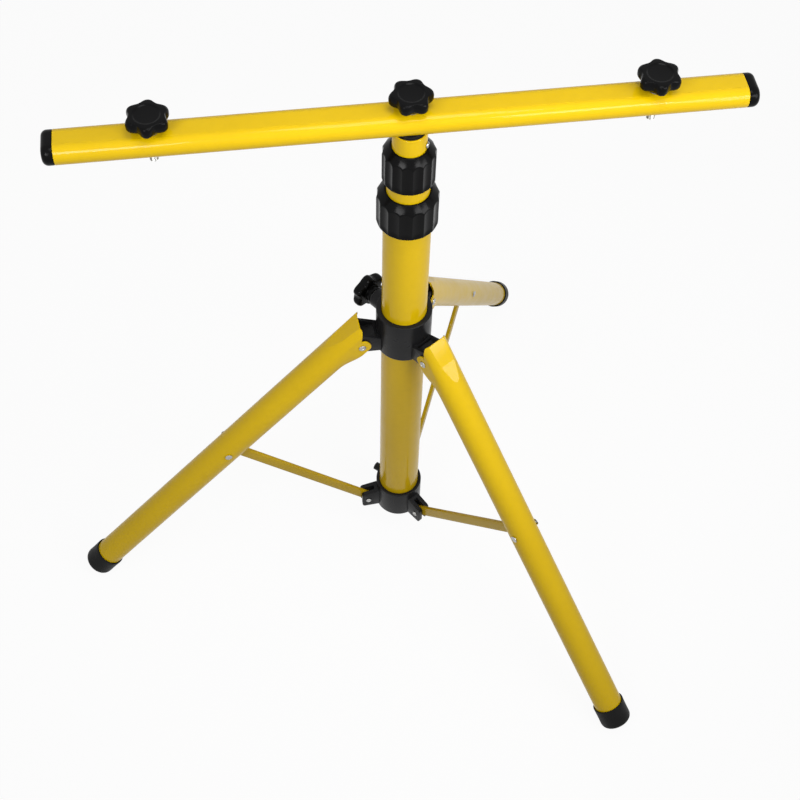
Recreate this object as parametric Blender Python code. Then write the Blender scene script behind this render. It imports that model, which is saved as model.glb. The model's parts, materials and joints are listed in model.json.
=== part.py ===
"""Folding tripod stand with a telescopic mast and a crossbar for two work lamps.

Lengths are in metres, angles in degrees, +Z is up and the feet stand on z = 0.
The crossbar lies along X. The mast stands at MAST_X, MAST_Y, so that the origin
is under the middle of the whole stand.
"""

from math import cos, pi, radians, sin, sqrt, tau

import bmesh
import bpy
from mathutils import Matrix, Vector

# Clearances
GAP = 0.0003
RUNNING = 0.0005
NUT_ROOM = 0.0004

# How far cutters reach past what they cut, and half the length of cross holes
PAST = 0.0020
ACROSS = 0.0300

# Place of the mast in the frame
MAST_X = 0.0418
MAST_Y = -0.0088

# Directions of the legs and of the side fittings about the mast
LEG_NAMES = ("left", "front", "rear")
LEG_AZIMUTHS = (184.5, 304.5, 60.5)
KNOB_AZIMUTH = 127.0
HUB_SCREW_AZIMUTH = 138.0
PLUG_SCREW_AZIMUTH = -26.0

# Telescopic mast
TUBE_WALL = 0.0015
OUTER_R = 0.0240
OUTER_BOTTOM = 0.0460
OUTER_TOP = 0.5990
MIDDLE_R = 0.0211
MIDDLE_BOTTOM = 0.0620
MIDDLE_TOP = 0.6520
INNER_R = 0.0164
INNER_BOTTOM = 0.0913
INNER_TOP = 0.6927

# Twist collars and the split collets that they squeeze
FLUTES = 16
FLUTE_POINTS = 4
FLUTE_DEPTH = 0.0016
LOWER_COLLAR_R = 0.0308
LOWER_COLLAR_BOTTOM = 0.5753
LOWER_COLLAR_TOP = 0.6160
UPPER_COLLAR_R = 0.0258
UPPER_COLLAR_BOTTOM = 0.6323
UPPER_COLLAR_TOP = 0.6728
COLLAR_CONE = 0.22
COLLAR_NECK = 0.14
COLLET_WALL = 0.0016
COLLET_BELOW = 0.0180
COLLET_ABOVE = 0.0090
COLLET_LIP = 0.0006
COLLET_SLOT = 0.0018
COLLET_SLOTS = 2

# Guide bushes at the foot of each sliding tube, and the plug in the outer tube
BUSH_FLANGE = 0.0090
BUSH_SPIGOT = 0.0140
BUSH_WALL = 0.0025
BASE_PLUG_FLANGE = 0.0027

# Sliding hub that carries the legs
UPPER_HUB_R = 0.0300
UPPER_HUB_BORE = OUTER_R + RUNNING
UPPER_HUB_BOTTOM = 0.3788
UPPER_HUB_TOP = 0.4346
HUB_EDGE = 0.0012
LEG_PIVOT_R = 0.0484
LEG_PIVOT_Z = 0.3958
LUG_HALF_WIDTH = 0.0132
LUG_WALL = 0.0034
LUG_FLOOR = 0.0180
LUG_ROOT = 0.0272
LUG_LOW = 0.0128
LUG_TOP_INNER = 0.0070
LUG_TOP_OUTER = 0.0158
LUG_TIP_R = 0.0108
LUG_POCKET_START = 0.0325

# Clamping knob's boss on the sliding hub, with its captive nut
BOSS_Z = 0.4150
BOSS_R = 0.0108
BOSS_END = 0.0420
BOSS_ROOT = 0.0270
NUT_ACROSS_CORNERS = 0.0150
NUT_HEIGHT = 0.0065
NUT_OUTER_FACE = 0.0370

# Fixed hub at the foot of the mast
LOWER_HUB_R = 0.0282
LOWER_HUB_BORE = OUTER_R + GAP
LOWER_HUB_BOTTOM = 0.0427
LOWER_HUB_TOP = 0.0884
STRUT_PIVOT_R = 0.0404
STRUT_PIVOT_Z = 0.0576
EAR_HALF_WIDTH = 0.0080
EAR_SLOT_HALF = 0.0029
EAR_ROOT = 0.0260
EAR_END = 0.0482
EAR_BOTTOM = 0.0446
EAR_TOP = 0.0712
EAR_CORNER = 0.0040
EAR_SLOT_START = 0.0318
SCREW_BOSS_Z = 0.0832
SCREW_BOSS_R = 0.0050
SCREW_BOSS_END = 0.0355
HUB_SCREW_END = 0.0340

# Legs: round tubes, pressed into a fork at the top, slotted for the strut
LEG_ANGLE = 40.8
LEG_R = 0.0167
LEG_WALL = 0.0015
LEG_OFFSET = 0.0070
LEG_LENGTH = 0.5157
LEG_TOP = 0.0197
FORK_SIDE = 0.0160
FORK_DEPTH = 0.0166
WEB_AT_END = 0.0129
WEB_AT_CREASE = 0.0142
CREASE_AT = 0.0077
FACET_END = 0.0302
FORK_BLEND_START = 0.0080
FORK_BLEND_END = 0.0450
EAR_LOBE_R = 0.0096
FORK_OPENING_HALF = 0.0139
FORK_OPENING_END = 0.0260
FORK_OPENING_EDGE = -0.0010
STRUT_ON_LEG = 0.2306
STRUT_RIVET_OUT = 0.0105
STRUT_SLOT_HALF = 0.0029
STRUT_SLOT_ABOVE = 0.0320
STRUT_SLOT_BELOW = 0.1050

# Rubber foot caps
FOOT_R = 0.0186
FOOT_SLEEVE = 0.0280
FOOT_END = 0.0030
FOOT_ROUNDING = 0.0045

# Struts: flat bars between the fixed hub and the legs
STRUT_WIDTH = 0.0130
STRUT_HALF_THICKNESS = 0.0021
STRUT_EYE = 0.0023
STRUT_TIP_R = 0.0055
STRUT_TIP_LENGTH = 0.0140

# Rivets
LEG_PIN_R = 0.0024
LEG_PIN_HEAD_R = 0.0040
LEG_PIN_HALF = FORK_SIDE + GAP
STRUT_PIN_R = 0.0020
STRUT_PIN_HEAD_R = 0.0034
STRUT_PIN_HALF = EAR_HALF_WIDTH + GAP
RIVET_HEAD = 0.0015
STUB_R = 0.0020
STUB_HEAD_R = 0.0040
STUB_HEAD = 0.0010
LEG_RIVET_TIP = 0.0106

# Crossbar: a flat-oval tube with an end cap at each end, clamped a little off its middle
BAR_LENGTH = 0.6215
BAR_SHIFT = -0.0032
BAR_WIDTH = 0.0356
BAR_HEIGHT = 0.0214
BAR_WALL = 0.0015
BAR_Z = 0.7063
BAR_BOTTOM = BAR_Z - BAR_HEIGHT / 2
BAR_TOP = BAR_Z + BAR_HEIGHT / 2
CAP_OUT = 0.0105
CAP_ROUNDING = 0.0055
CAP_INSERT = 0.0160
LAMP_X = 0.2269
RELIEF_HALF = 0.0105
RELIEF_DEPTH = 0.0002

# Plug in the top of the mast, with its screw and nut
PLUG_FLANGE_R = 0.0139
PLUG_DEPTH = 0.0380
PLUG_NUT_TOP = 0.0100
SIDE_SCREW_Z = 0.6780
SIDE_SCREW_R = 0.0016
SIDE_SCREW_HEAD_R = 0.0033
SIDE_SCREW_TIP = 0.0095

# Star knobs on threaded studs, each over a washer
LOBES = 6
LOBE_POINTS = 6
KNOB_R = 0.0205
KNOB_DIP = 0.0042
KNOB_BOSS_R = 0.0095
KNOB_BOSS = 0.0062
KNOB_HEAD = 0.0112
KNOB_CREST_R = 0.0124
KNOB_DISH_R = 0.0110
KNOB_DISH = 0.0010
KNOB_TURNS = {"left": 25.0, "centre": 3.0, "right": 26.0, "hub": 0.0}
STUD_R = 0.0040
STUD_IN_KNOB = 0.0090
WASHER_R = 0.0088
WASHER_THICKNESS = 0.0012
LAMP_STUD_BELOW = 0.0140
CENTRE_STUD_DEPTH = 0.0490
BAR_HOLE_R = 0.0046
RIVNUT_SLEEVE_R = 0.0053
RIVNUT_FLANGE_R = 0.0072
RIVNUT_FLANGE = 0.0012
RIVNUT_HEIGHT = 0.0120

# Facets round each kind of round piece
HEXAGON = 6
TUBE_FACETS = 32
RING_FACETS = 40
SMALL_FACETS = 12
LEG_FACETS = 24
OVAL_FACETS = 8
WASHER_FACETS = 20
RIVNUT_FACETS = 16
CAP_STEPS = 4

# Colours of paint, plastic, rubber and plated steel
YELLOW = (0.72, 0.47, 0.006)
BLACK = (0.022, 0.022, 0.023)
RUBBER = (0.030, 0.030, 0.030)
NYLON = (0.060, 0.060, 0.060)
ZINC = (0.62, 0.62, 0.60)

SMOOTH_ANGLE = 35.0


# Tools


def clear_scene():
    for old in list(bpy.data.objects):
        bpy.data.objects.remove(old, do_unlink=True)


def principled(name, colour, roughness, metallic):
    """A material of its own for one piece."""
    material = bpy.data.materials.new(name)
    material.use_nodes = True
    shader = material.node_tree.nodes["Principled BSDF"]
    shader.inputs["Base Color"].default_value = (*colour, 1.0)
    shader.inputs["Roughness"].default_value = roughness
    shader.inputs["Metallic"].default_value = metallic
    material.diffuse_color = (*colour, 1.0)
    return material


def finished(name, mesh_in_work, frame, colour, roughness=0.4, metallic=0.0):
    """A visible piece from a bmesh that is drawn in its own frame."""
    mesh = bpy.data.meshes.new(name)
    mesh_in_work.to_mesh(mesh)
    mesh_in_work.free()
    mesh.shade_smooth()
    mesh.set_sharp_from_angle(angle=radians(SMOOTH_ANGLE))
    mesh.materials.append(principled(name + "_surface", colour, roughness, metallic))
    piece = bpy.data.objects.new(name, mesh)
    bpy.context.scene.collection.objects.link(piece)
    piece.matrix_world = frame
    return piece


def helper(name, mesh_in_work, frame):
    """A hidden solid that only joins or cuts another piece."""
    mesh = bpy.data.meshes.new(name)
    mesh_in_work.to_mesh(mesh)
    mesh_in_work.free()
    tool = bpy.data.objects.new(name, mesh)
    bpy.context.scene.collection.objects.link(tool)
    tool.matrix_world = frame
    tool.hide_render = True
    tool.display_type = "WIRE"
    return tool


def boolean(piece, tool, operation):
    step = piece.modifiers.new(operation.lower() + "_" + tool.name, "BOOLEAN")
    step.operation = operation
    step.solver = "EXACT"
    step.object = tool


def cut(piece, tool):
    boolean(piece, tool, "DIFFERENCE")


def join(piece, tool):
    boolean(piece, tool, "UNION")


def spin(profile, facets=TUBE_FACETS, closed=True):
    """A profile of (radius, height) pairs turned about Z.

    A closed profile gives a ring; an open one starts and ends on the axis.
    """
    work = bmesh.new()
    verts = [work.verts.new((r, 0.0, z)) for r, z in profile]
    pairs = list(zip(verts, verts[1:]))
    if closed:
        pairs.append((verts[-1], verts[0]))
    edges = [work.edges.new(pair) for pair in pairs]
    bmesh.ops.spin(
        work, geom=verts + edges, cent=(0, 0, 0), axis=(0, 0, 1), angle=tau,
        steps=facets, use_merge=True,
    )
    bmesh.ops.remove_doubles(work, verts=work.verts, dist=1e-7)
    bmesh.ops.dissolve_degenerate(work, edges=work.edges, dist=1e-7)
    bmesh.ops.recalc_face_normals(work, faces=work.faces)
    return work


def loft(rings, closed=False):
    """Rings of equal length joined in order; closed joins the last to the first."""
    work = bmesh.new()
    rows = [[work.verts.new(point) for point in ring] for ring in rings]
    pairs = list(zip(rows, rows[1:]))
    if closed:
        pairs.append((rows[-1], rows[0]))
    for low, high in pairs:
        for i in range(len(low)):
            j = (i + 1) % len(low)
            work.faces.new((low[i], low[j], high[j], high[i]))
    if not closed:
        work.faces.new(rows[0])
        work.faces.new(rows[-1])
    bmesh.ops.recalc_face_normals(work, faces=work.faces)
    return work


def plate(outline, half_thickness):
    """An outline in the X-Z plane given a thickness each way along Y."""
    work = bmesh.new()
    near = [work.verts.new((x, -half_thickness, z)) for x, z in outline]
    face = work.faces.new(near)
    moved = bmesh.ops.extrude_face_region(work, geom=[face])["geom"]
    far = [item for item in moved if isinstance(item, bmesh.types.BMVert)]
    bmesh.ops.translate(work, verts=far, vec=(0, 2 * half_thickness, 0))
    bmesh.ops.recalc_face_normals(work, faces=work.faces)
    return work


def block(low, high):
    """A box between two opposite corners."""
    low, high = Vector(low), Vector(high)
    work = bmesh.new()
    bmesh.ops.create_cube(work, size=1.0)
    bmesh.ops.scale(work, verts=work.verts, vec=high - low)
    bmesh.ops.translate(work, verts=work.verts, vec=(low + high) / 2)
    return work


def rod(radius, low, high, facets=SMALL_FACETS):
    """A plain round bar along Z."""
    return spin([(0, low), (radius, low), (radius, high), (0, high)], facets, closed=False)


def arc(centre_x, centre_z, radius, start, end, steps):
    """Points on a circle in the X-Z plane, angles in degrees from +X towards +Z."""
    turns = [radians(start + (end - start) * i / steps) for i in range(steps + 1)]
    return [(centre_x + radius * cos(t), centre_z + radius * sin(t)) for t in turns]


def shifted(x, y, z):
    return Matrix.Translation((x, y, z))


def about_z(degrees):
    return Matrix.Rotation(radians(degrees), 4, "Z")


def about_y(degrees):
    return Matrix.Rotation(radians(degrees), 4, "Y")


def about_x(degrees):
    return Matrix.Rotation(radians(degrees), 4, "X")


# Frames of the moving groups, each with its origin on its joint's axis

MAST = shifted(MAST_X, MAST_Y, 0)


def spoke(azimuth):
    """The mast's frame turned so that +X points out at an azimuth."""
    return MAST @ about_z(azimuth)


def leg_frame(azimuth):
    """Origin on the leg's pivot, -Z down the leg, +X away from the mast."""
    return spoke(azimuth) @ shifted(LEG_PIVOT_R, 0, LEG_PIVOT_Z) @ about_y(-LEG_ANGLE)


def strut_span():
    """Length of a strut between its pivots, and its slope above the floor."""
    turn = radians(LEG_ANGLE)
    out = LEG_PIVOT_R + STRUT_ON_LEG * sin(turn) + STRUT_RIVET_OUT * cos(turn)
    up = LEG_PIVOT_Z - STRUT_ON_LEG * cos(turn) + STRUT_RIVET_OUT * sin(turn)
    along = Vector((out - STRUT_PIVOT_R, 0, up - STRUT_PIVOT_Z))
    return along.length, along.angle(Vector((1, 0, 0))) * 180 / pi


def strut_frame(azimuth):
    """Origin on the strut's pivot in the fixed hub, +X along the strut."""
    slope = strut_span()[1]
    return spoke(azimuth) @ shifted(STRUT_PIVOT_R, 0, STRUT_PIVOT_Z) @ about_y(-slope)


def knob_frame(x):
    """Origin on the crossbar's top face under a knob, +Z up the stud."""
    return MAST @ shifted(x, 0, BAR_TOP)


def lamp_places():
    """The X of each lamp knob, out from the mast."""
    return (("left", BAR_SHIFT - LAMP_X), ("right", BAR_SHIFT + LAMP_X))


def hub_knob_frame():
    """Origin on the boss's end face, +Z out along the stud."""
    return spoke(KNOB_AZIMUTH) @ shifted(BOSS_END, 0, BOSS_Z) @ about_y(90)


# Mast


def tube(radius, bottom, top, wall=TUBE_WALL):
    return spin([(radius, bottom), (radius, top), (radius - wall, top), (radius - wall, bottom)])


def build_collet(name, tube_r, tube_top, sliding_r):
    """A split sleeve on a tube's top that grips the next tube when it is squeezed."""
    outside = tube_r + GAP + COLLET_WALL
    low = tube_top - COLLET_BELOW
    high = tube_top + COLLET_ABOVE
    profile = [
        (tube_r + GAP, low), (outside, low), (outside, high - COLLET_WALL),
        (outside - COLLET_LIP, high), (sliding_r + GAP, high),
        (sliding_r + GAP, tube_top + GAP), (tube_r + GAP, tube_top + GAP),
    ]
    piece = finished(name, spin(profile), MAST, NYLON, 0.55)
    for i in range(COLLET_SLOTS):
        slot = block(
            (-outside * 1.2, -COLLET_SLOT / 2, tube_top + 2 * GAP),
            (outside * 1.2, COLLET_SLOT / 2, high * 1.01),
        )
        cut(piece, helper(name + "_slot_" + str(i), slot, MAST @ about_z(90 * i + 45)))
    return piece


def fluted_ring(radius, z, depth):
    """One ring of a collar's outside: sharp ridges with hollows between them."""
    count = FLUTES * FLUTE_POINTS
    points = []
    for i in range(count):
        turn = tau * i / count
        dish = depth * abs(sin(FLUTES * turn / 2))
        points.append(((radius - dish) * cos(turn), (radius - dish) * sin(turn), z))
    return points


def build_collar(name, radius, bottom, top, thread_r, tube_top, sliding_r):
    """A twist collar: a fluted skirt, a cone above it and a plain bore in two steps."""
    step = tube_top + COLLET_ABOVE + GAP
    neck = sliding_r + RUNNING
    shoulder = top - COLLAR_CONE * (top - bottom)
    neck_out = neck + COLLAR_NECK * (radius - neck)
    slope = radius - neck_out
    cone = top - shoulder
    rings = [
        fluted_ring(thread_r, bottom, 0),
        fluted_ring(radius - 0.0012, bottom, FLUTE_DEPTH * 0.6),
        fluted_ring(radius, bottom + 0.0016, FLUTE_DEPTH),
        fluted_ring(radius, shoulder, FLUTE_DEPTH),
        fluted_ring(radius - 0.28 * slope, shoulder + 0.36 * cone, FLUTE_DEPTH * 0.5),
        fluted_ring(radius - 0.66 * slope, shoulder + 0.74 * cone, 0),
        fluted_ring(neck_out, top, 0),
        fluted_ring(neck, top, 0),
        fluted_ring(neck, step, 0),
        fluted_ring(thread_r, step, 0),
    ]
    return finished(name, loft(rings, closed=True), MAST, BLACK, 0.35)


def build_bush(name, bore_r, tube_inner_r, tube_bottom):
    """A plastic guide at a tube's foot: a flange in the bore of the tube outside it."""
    flange = bore_r - GAP
    spigot = tube_inner_r - GAP
    inside = spigot - BUSH_WALL
    low = tube_bottom - GAP - BUSH_FLANGE
    profile = [
        (inside, low), (flange, low), (flange, tube_bottom - GAP), (spigot, tube_bottom - GAP),
        (spigot, tube_bottom + BUSH_SPIGOT), (inside, tube_bottom + BUSH_SPIGOT),
    ]
    return finished(name, spin(profile), MAST, NYLON, 0.5)


def build_mast():
    finished("outer_tube", tube(OUTER_R, OUTER_BOTTOM, OUTER_TOP), MAST, YELLOW, 0.3)
    finished("middle_tube", tube(MIDDLE_R, MIDDLE_BOTTOM, MIDDLE_TOP), MAST, YELLOW, 0.3)
    inner = finished("inner_tube", tube(INNER_R, INNER_BOTTOM, INNER_TOP), MAST, YELLOW, 0.3)
    across = spoke(PLUG_SCREW_AZIMUTH) @ shifted(0, 0, SIDE_SCREW_Z) @ about_y(90)
    hole = rod(SIDE_SCREW_R + GAP, INNER_R / 2, INNER_R * 1.3)
    cut(inner, helper("inner_tube_screw_hole", hole, across))

    plug_profile = [
        (0, OUTER_BOTTOM - BASE_PLUG_FLANGE - GAP), (OUTER_R, OUTER_BOTTOM - BASE_PLUG_FLANGE - GAP),
        (OUTER_R, OUTER_BOTTOM - GAP), (OUTER_R - TUBE_WALL - GAP, OUTER_BOTTOM - GAP),
        (OUTER_R - TUBE_WALL - GAP, MIDDLE_BOTTOM - BUSH_FLANGE - 4 * GAP),
        (0, MIDDLE_BOTTOM - BUSH_FLANGE - 4 * GAP),
    ]
    finished("base_plug", spin(plug_profile, closed=False), MAST, BLACK, 0.5)

    build_bush("middle_bush", OUTER_R - TUBE_WALL, MIDDLE_R - TUBE_WALL, MIDDLE_BOTTOM)
    build_bush("inner_bush", MIDDLE_R - TUBE_WALL, INNER_R - TUBE_WALL, INNER_BOTTOM)
    build_collet("outer_collet", OUTER_R, OUTER_TOP, MIDDLE_R)
    build_collet("middle_collet", MIDDLE_R, MIDDLE_TOP, INNER_R)
    build_collar(
        "lower_collar", LOWER_COLLAR_R, LOWER_COLLAR_BOTTOM, LOWER_COLLAR_TOP,
        OUTER_R + GAP + COLLET_WALL + RUNNING, OUTER_TOP, MIDDLE_R,
    )
    build_collar(
        "upper_collar", UPPER_COLLAR_R, UPPER_COLLAR_BOTTOM, UPPER_COLLAR_TOP,
        MIDDLE_R + GAP + COLLET_WALL + RUNNING, MIDDLE_TOP, INNER_R,
    )


def build_plug():
    """The plug that closes the inner tube and holds the nut of the middle knob."""
    body_r = INNER_R - TUBE_WALL - GAP
    low = INNER_TOP - PLUG_DEPTH
    high = BAR_BOTTOM - GAP
    nut_top = INNER_TOP - PLUG_NUT_TOP
    profile = [
        (STUD_R + GAP, low), (body_r, low), (body_r, INNER_TOP - GAP),
        (PLUG_FLANGE_R, INNER_TOP - GAP), (PLUG_FLANGE_R, high), (STUD_R + GAP, high),
    ]
    plug = finished("top_plug", spin(profile), MAST, BLACK, 0.45)
    pocket = rod(NUT_ACROSS_CORNERS / 2 + NUT_ROOM, low - PAST, nut_top + GAP, HEXAGON)
    cut(plug, helper("top_plug_nut_pocket", pocket, MAST))
    across = spoke(PLUG_SCREW_AZIMUTH) @ shifted(0, 0, SIDE_SCREW_Z) @ about_y(90)
    hole = rod(SIDE_SCREW_R + GAP, SIDE_SCREW_TIP - GAP, INNER_R)
    cut(plug, helper("top_plug_screw_hole", hole, across))

    nut = finished(
        "plug_nut", rod(NUT_ACROSS_CORNERS / 2, nut_top - NUT_HEIGHT, nut_top, HEXAGON), MAST,
        ZINC, 0.3, 1.0,
    )
    bore = rod(STUD_R + GAP, nut_top - NUT_HEIGHT - PAST, nut_top + PAST)
    cut(nut, helper("plug_nut_bore", bore, MAST))

    head = INNER_R + GAP
    screw = [
        (0, SIDE_SCREW_TIP), (SIDE_SCREW_R, SIDE_SCREW_TIP), (SIDE_SCREW_R, head),
        (SIDE_SCREW_HEAD_R, head), (SIDE_SCREW_HEAD_R, head + 0.0008),
        (SIDE_SCREW_HEAD_R * 0.7, head + 0.0017), (0, head + 0.0020),
    ]
    finished("plug_screw", spin(screw, SMALL_FACETS, closed=False), across, ZINC, 0.25, 1.0)


# Hubs


def hub_ring(radius, bore, bottom, top):
    return spin([
        (bore, bottom), (radius - HUB_EDGE, bottom), (radius, bottom + HUB_EDGE),
        (radius, top - HUB_EDGE), (radius - HUB_EDGE, top), (bore, top),
    ], RING_FACETS)


def build_upper_hub():
    """The sliding hub: a sleeve with three hollow lugs and the clamping boss."""
    hub = finished(
        "upper_hub", hub_ring(UPPER_HUB_R, UPPER_HUB_BORE, UPPER_HUB_BOTTOM, UPPER_HUB_TOP),
        MAST, BLACK, 0.45,
    )
    tip = arc(LEG_PIVOT_R, LEG_PIVOT_Z, LUG_TIP_R, -70, 55, 8)
    outline = [
        (LUG_ROOT, LEG_PIVOT_Z - LUG_LOW), *tip,
        (LEG_PIVOT_R - 0.0010, LEG_PIVOT_Z + LUG_TOP_OUTER),
        (LUG_ROOT, LEG_PIVOT_Z + LUG_TOP_INNER),
    ]
    for name, azimuth in zip(LEG_NAMES, LEG_AZIMUTHS):
        join(hub, helper("lug_" + name, plate(outline, LUG_HALF_WIDTH), spoke(azimuth)))
    boss = rod(BOSS_R, BOSS_ROOT, BOSS_END, WASHER_FACETS)
    boss_axis = spoke(KNOB_AZIMUTH) @ shifted(0, 0, BOSS_Z) @ about_y(90)
    join(hub, helper("knob_boss", boss, boss_axis))
    for name, azimuth in zip(LEG_NAMES, LEG_AZIMUTHS):
        inner_half = LUG_HALF_WIDTH - LUG_WALL
        pocket = block(
            (LUG_POCKET_START, -inner_half, LEG_PIVOT_Z - LUG_LOW + LUG_FLOOR),
            (LEG_PIVOT_R * 1.5, inner_half, LEG_PIVOT_Z + ACROSS),
        )
        cut(hub, helper("lug_pocket_" + name, pocket, spoke(azimuth)))
        hole = rod(LEG_PIN_R + GAP, -ACROSS, ACROSS)
        axis = spoke(azimuth) @ shifted(LEG_PIVOT_R, 0, LEG_PIVOT_Z) @ about_x(90)
        cut(hub, helper("lug_pin_hole_" + name, hole, axis))
    pocket = rod(NUT_ACROSS_CORNERS / 2 + NUT_ROOM, OUTER_R / 2, NUT_OUTER_FACE + GAP, HEXAGON)
    cut(hub, helper("hub_nut_pocket", pocket, boss_axis))
    cut(hub, helper("hub_stud_hole", rod(STUD_R + 2 * GAP, UPPER_HUB_R, BOSS_END + PAST), boss_axis))

    nut = finished(
        "hub_nut", rod(NUT_ACROSS_CORNERS / 2, NUT_OUTER_FACE - NUT_HEIGHT, NUT_OUTER_FACE, HEXAGON),
        boss_axis, ZINC, 0.3, 1.0,
    )
    cut(nut, helper("hub_nut_bore", rod(STUD_R + GAP, OUTER_R, BOSS_END), boss_axis))
    return hub


def build_lower_hub():
    """The fixed hub: a ring with three split ears and the boss of a set screw."""
    hub = finished(
        "lower_hub", hub_ring(LOWER_HUB_R, LOWER_HUB_BORE, LOWER_HUB_BOTTOM, LOWER_HUB_TOP),
        MAST, BLACK, 0.45,
    )
    corner = EAR_CORNER
    outline = [
        (EAR_ROOT, EAR_BOTTOM), *arc(EAR_END - corner, EAR_BOTTOM + corner, corner, -90, 0, 4),
        *arc(EAR_END - corner, EAR_TOP - corner, corner, 0, 90, 4), (EAR_ROOT, EAR_TOP + corner),
    ]
    for name, azimuth in zip(LEG_NAMES, LEG_AZIMUTHS):
        join(hub, helper("ears_" + name, plate(outline, EAR_HALF_WIDTH), spoke(azimuth)))
    screw_axis = spoke(HUB_SCREW_AZIMUTH) @ shifted(0, 0, SCREW_BOSS_Z) @ about_y(90)
    join(hub, helper("screw_boss", rod(SCREW_BOSS_R, EAR_ROOT, SCREW_BOSS_END), screw_axis))
    for name, azimuth in zip(LEG_NAMES, LEG_AZIMUTHS):
        slot = block(
            (EAR_SLOT_START, -EAR_SLOT_HALF, EAR_BOTTOM - PAST),
            (EAR_END + PAST, EAR_SLOT_HALF, EAR_TOP + 4 * PAST),
        )
        cut(hub, helper("ear_slot_" + name, slot, spoke(azimuth)))
        hole = rod(STRUT_PIN_R + GAP, -ACROSS, ACROSS)
        axis = spoke(azimuth) @ shifted(STRUT_PIVOT_R, 0, STRUT_PIVOT_Z) @ about_x(90)
        cut(hub, helper("ear_pin_hole_" + name, hole, axis))
    hole = rod(STRUT_PIN_R + GAP, OUTER_R - PAST, SCREW_BOSS_END + PAST)
    cut(hub, helper("hub_screw_hole", hole, screw_axis))

    screw = rod(STRUT_PIN_R, OUTER_R + 2 * GAP, HUB_SCREW_END)
    finished("lower_hub_screw", screw, screw_axis, ZINC, 0.3, 1.0)
    return hub


# Rivets


def rivet(shank_r, head_r, half_span):
    """A rivet along Z through a fork, with a domed head at each end."""
    far = half_span + RIVET_HEAD
    side = [
        (0, -far), (head_r * 0.62, -far + 0.0003), (head_r, -half_span - 0.0005), (head_r, -half_span),
        (shank_r, -half_span), (shank_r, half_span), (head_r, half_span), (head_r, half_span + 0.0005),
        (head_r * 0.62, far - 0.0003), (0, far),
    ]
    return spin(side, SMALL_FACETS, closed=False)


def stub(length):
    """A short rivet along +Z: its shank holds one wall only, its head is outside."""
    side = [
        (0, -length), (STUB_R, -length), (STUB_R, 0), (STUB_HEAD_R, 0), (STUB_HEAD_R, STUB_HEAD * 0.4),
        (STUB_HEAD_R * 0.62, STUB_HEAD * 0.85), (0, STUB_HEAD),
    ]
    return spin(side, SMALL_FACETS, closed=False)


def leg_half_width(out):
    """Half the leg's outside width at a distance out from its pivot line."""
    return sqrt(LEG_R ** 2 - (out - LEG_OFFSET) ** 2)


def build_rivets(name, azimuth):
    pivot = spoke(azimuth) @ shifted(LEG_PIVOT_R, 0, LEG_PIVOT_Z) @ about_x(90)
    pin = rivet(LEG_PIN_R, LEG_PIN_HEAD_R, LEG_PIN_HALF)
    finished("leg_pin_" + name, pin, pivot, ZINC, 0.25, 1.0)
    pivot = spoke(azimuth) @ shifted(STRUT_PIVOT_R, 0, STRUT_PIVOT_Z) @ about_x(90)
    pin = rivet(STRUT_PIN_R, STRUT_PIN_HEAD_R, STRUT_PIN_HALF)
    finished("strut_pin_" + name, pin, pivot, ZINC, 0.25, 1.0)
    seat = leg_half_width(STRUT_RIVET_OUT) + 3 * GAP
    length = seat - LEG_RIVET_TIP
    for side, turn in (("a", 90), ("b", -90)):
        place = leg_frame(azimuth) @ shifted(STRUT_RIVET_OUT, 0, -STRUT_ON_LEG)
        place = place @ about_x(turn) @ shifted(0, 0, seat)
        finished("leg_rivet_" + name + "_" + side, stub(length), place, ZINC, 0.25, 1.0)


# Legs


def press_limit(down):
    """How far the web stands out from the tube's axis at a distance down the leg."""
    if down <= CREASE_AT:
        share = (down + LEG_TOP) / (CREASE_AT + LEG_TOP)
        return WEB_AT_END + (WEB_AT_CREASE - WEB_AT_END) * share
    share = (down - CREASE_AT) / (FACET_END - CREASE_AT)
    return WEB_AT_CREASE + (LEG_R - WEB_AT_CREASE) * share


def squareness(down):
    """1 in the fork, where the side walls are straight, and 0 in the round tube."""
    share = (FORK_BLEND_END - down) / (FORK_BLEND_END - FORK_BLEND_START)
    share = min(1.0, max(0.0, share))
    return share * share * (3 - 2 * share)


def leg_ring(down, inset):
    """One section of the leg, out from the axis and across, inset by the wall."""
    points = []
    square = squareness(down)
    round_r = LEG_R - inset
    side = FORK_SIDE - inset
    depth = FORK_DEPTH - inset
    for i in range(LEG_FACETS):
        turn = tau * i / LEG_FACETS
        out, across = round_r * cos(turn), round_r * sin(turn)
        sign = 1.0 if across >= 0 else -1.0
        if cos(turn) < -1e-9:
            share = 2 * abs(abs(turn - pi) / pi - 0.5)
            wall = min(1.0, share / 0.62)
            floor = max(0.0, (share - 0.62) / 0.38)
            straight_out, straight_across = -depth * wall, sign * side * (1 - floor)
        else:
            straight_out, straight_across = out, sign * min(abs(across), side)
        out += (straight_out - out) * square
        across += (straight_across - across) * square
        out = min(out, press_limit(down) - inset)
        points.append((LEG_OFFSET + out, across, -down))
    return points


def leg_stations():
    """Distances down the leg of its sections, close together where it is pressed."""
    fork = [-LEG_TOP - PAST, CREASE_AT, 0.0120, 0.0165, 0.0210, 0.0255, FACET_END, 0.0370]
    return fork + [FORK_BLEND_END, LEG_LENGTH - FOOT_END - GAP]


def fork_outline():
    """The space beyond the fork's end, seen from the side: web and rounded ears stay."""
    relief = [(0.0172, LEG_TOP), (0.0136, 0.0155), (0.0108, 0.0120), (0.0092, 0.0094)]
    lobe = arc(0, 0, EAR_LOBE_R, 42, 180, 10)
    return [(0.040, 0.050), (0.040, LEG_TOP), *relief, *lobe, (-0.030, 0.0), (-0.030, 0.050)]


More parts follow.
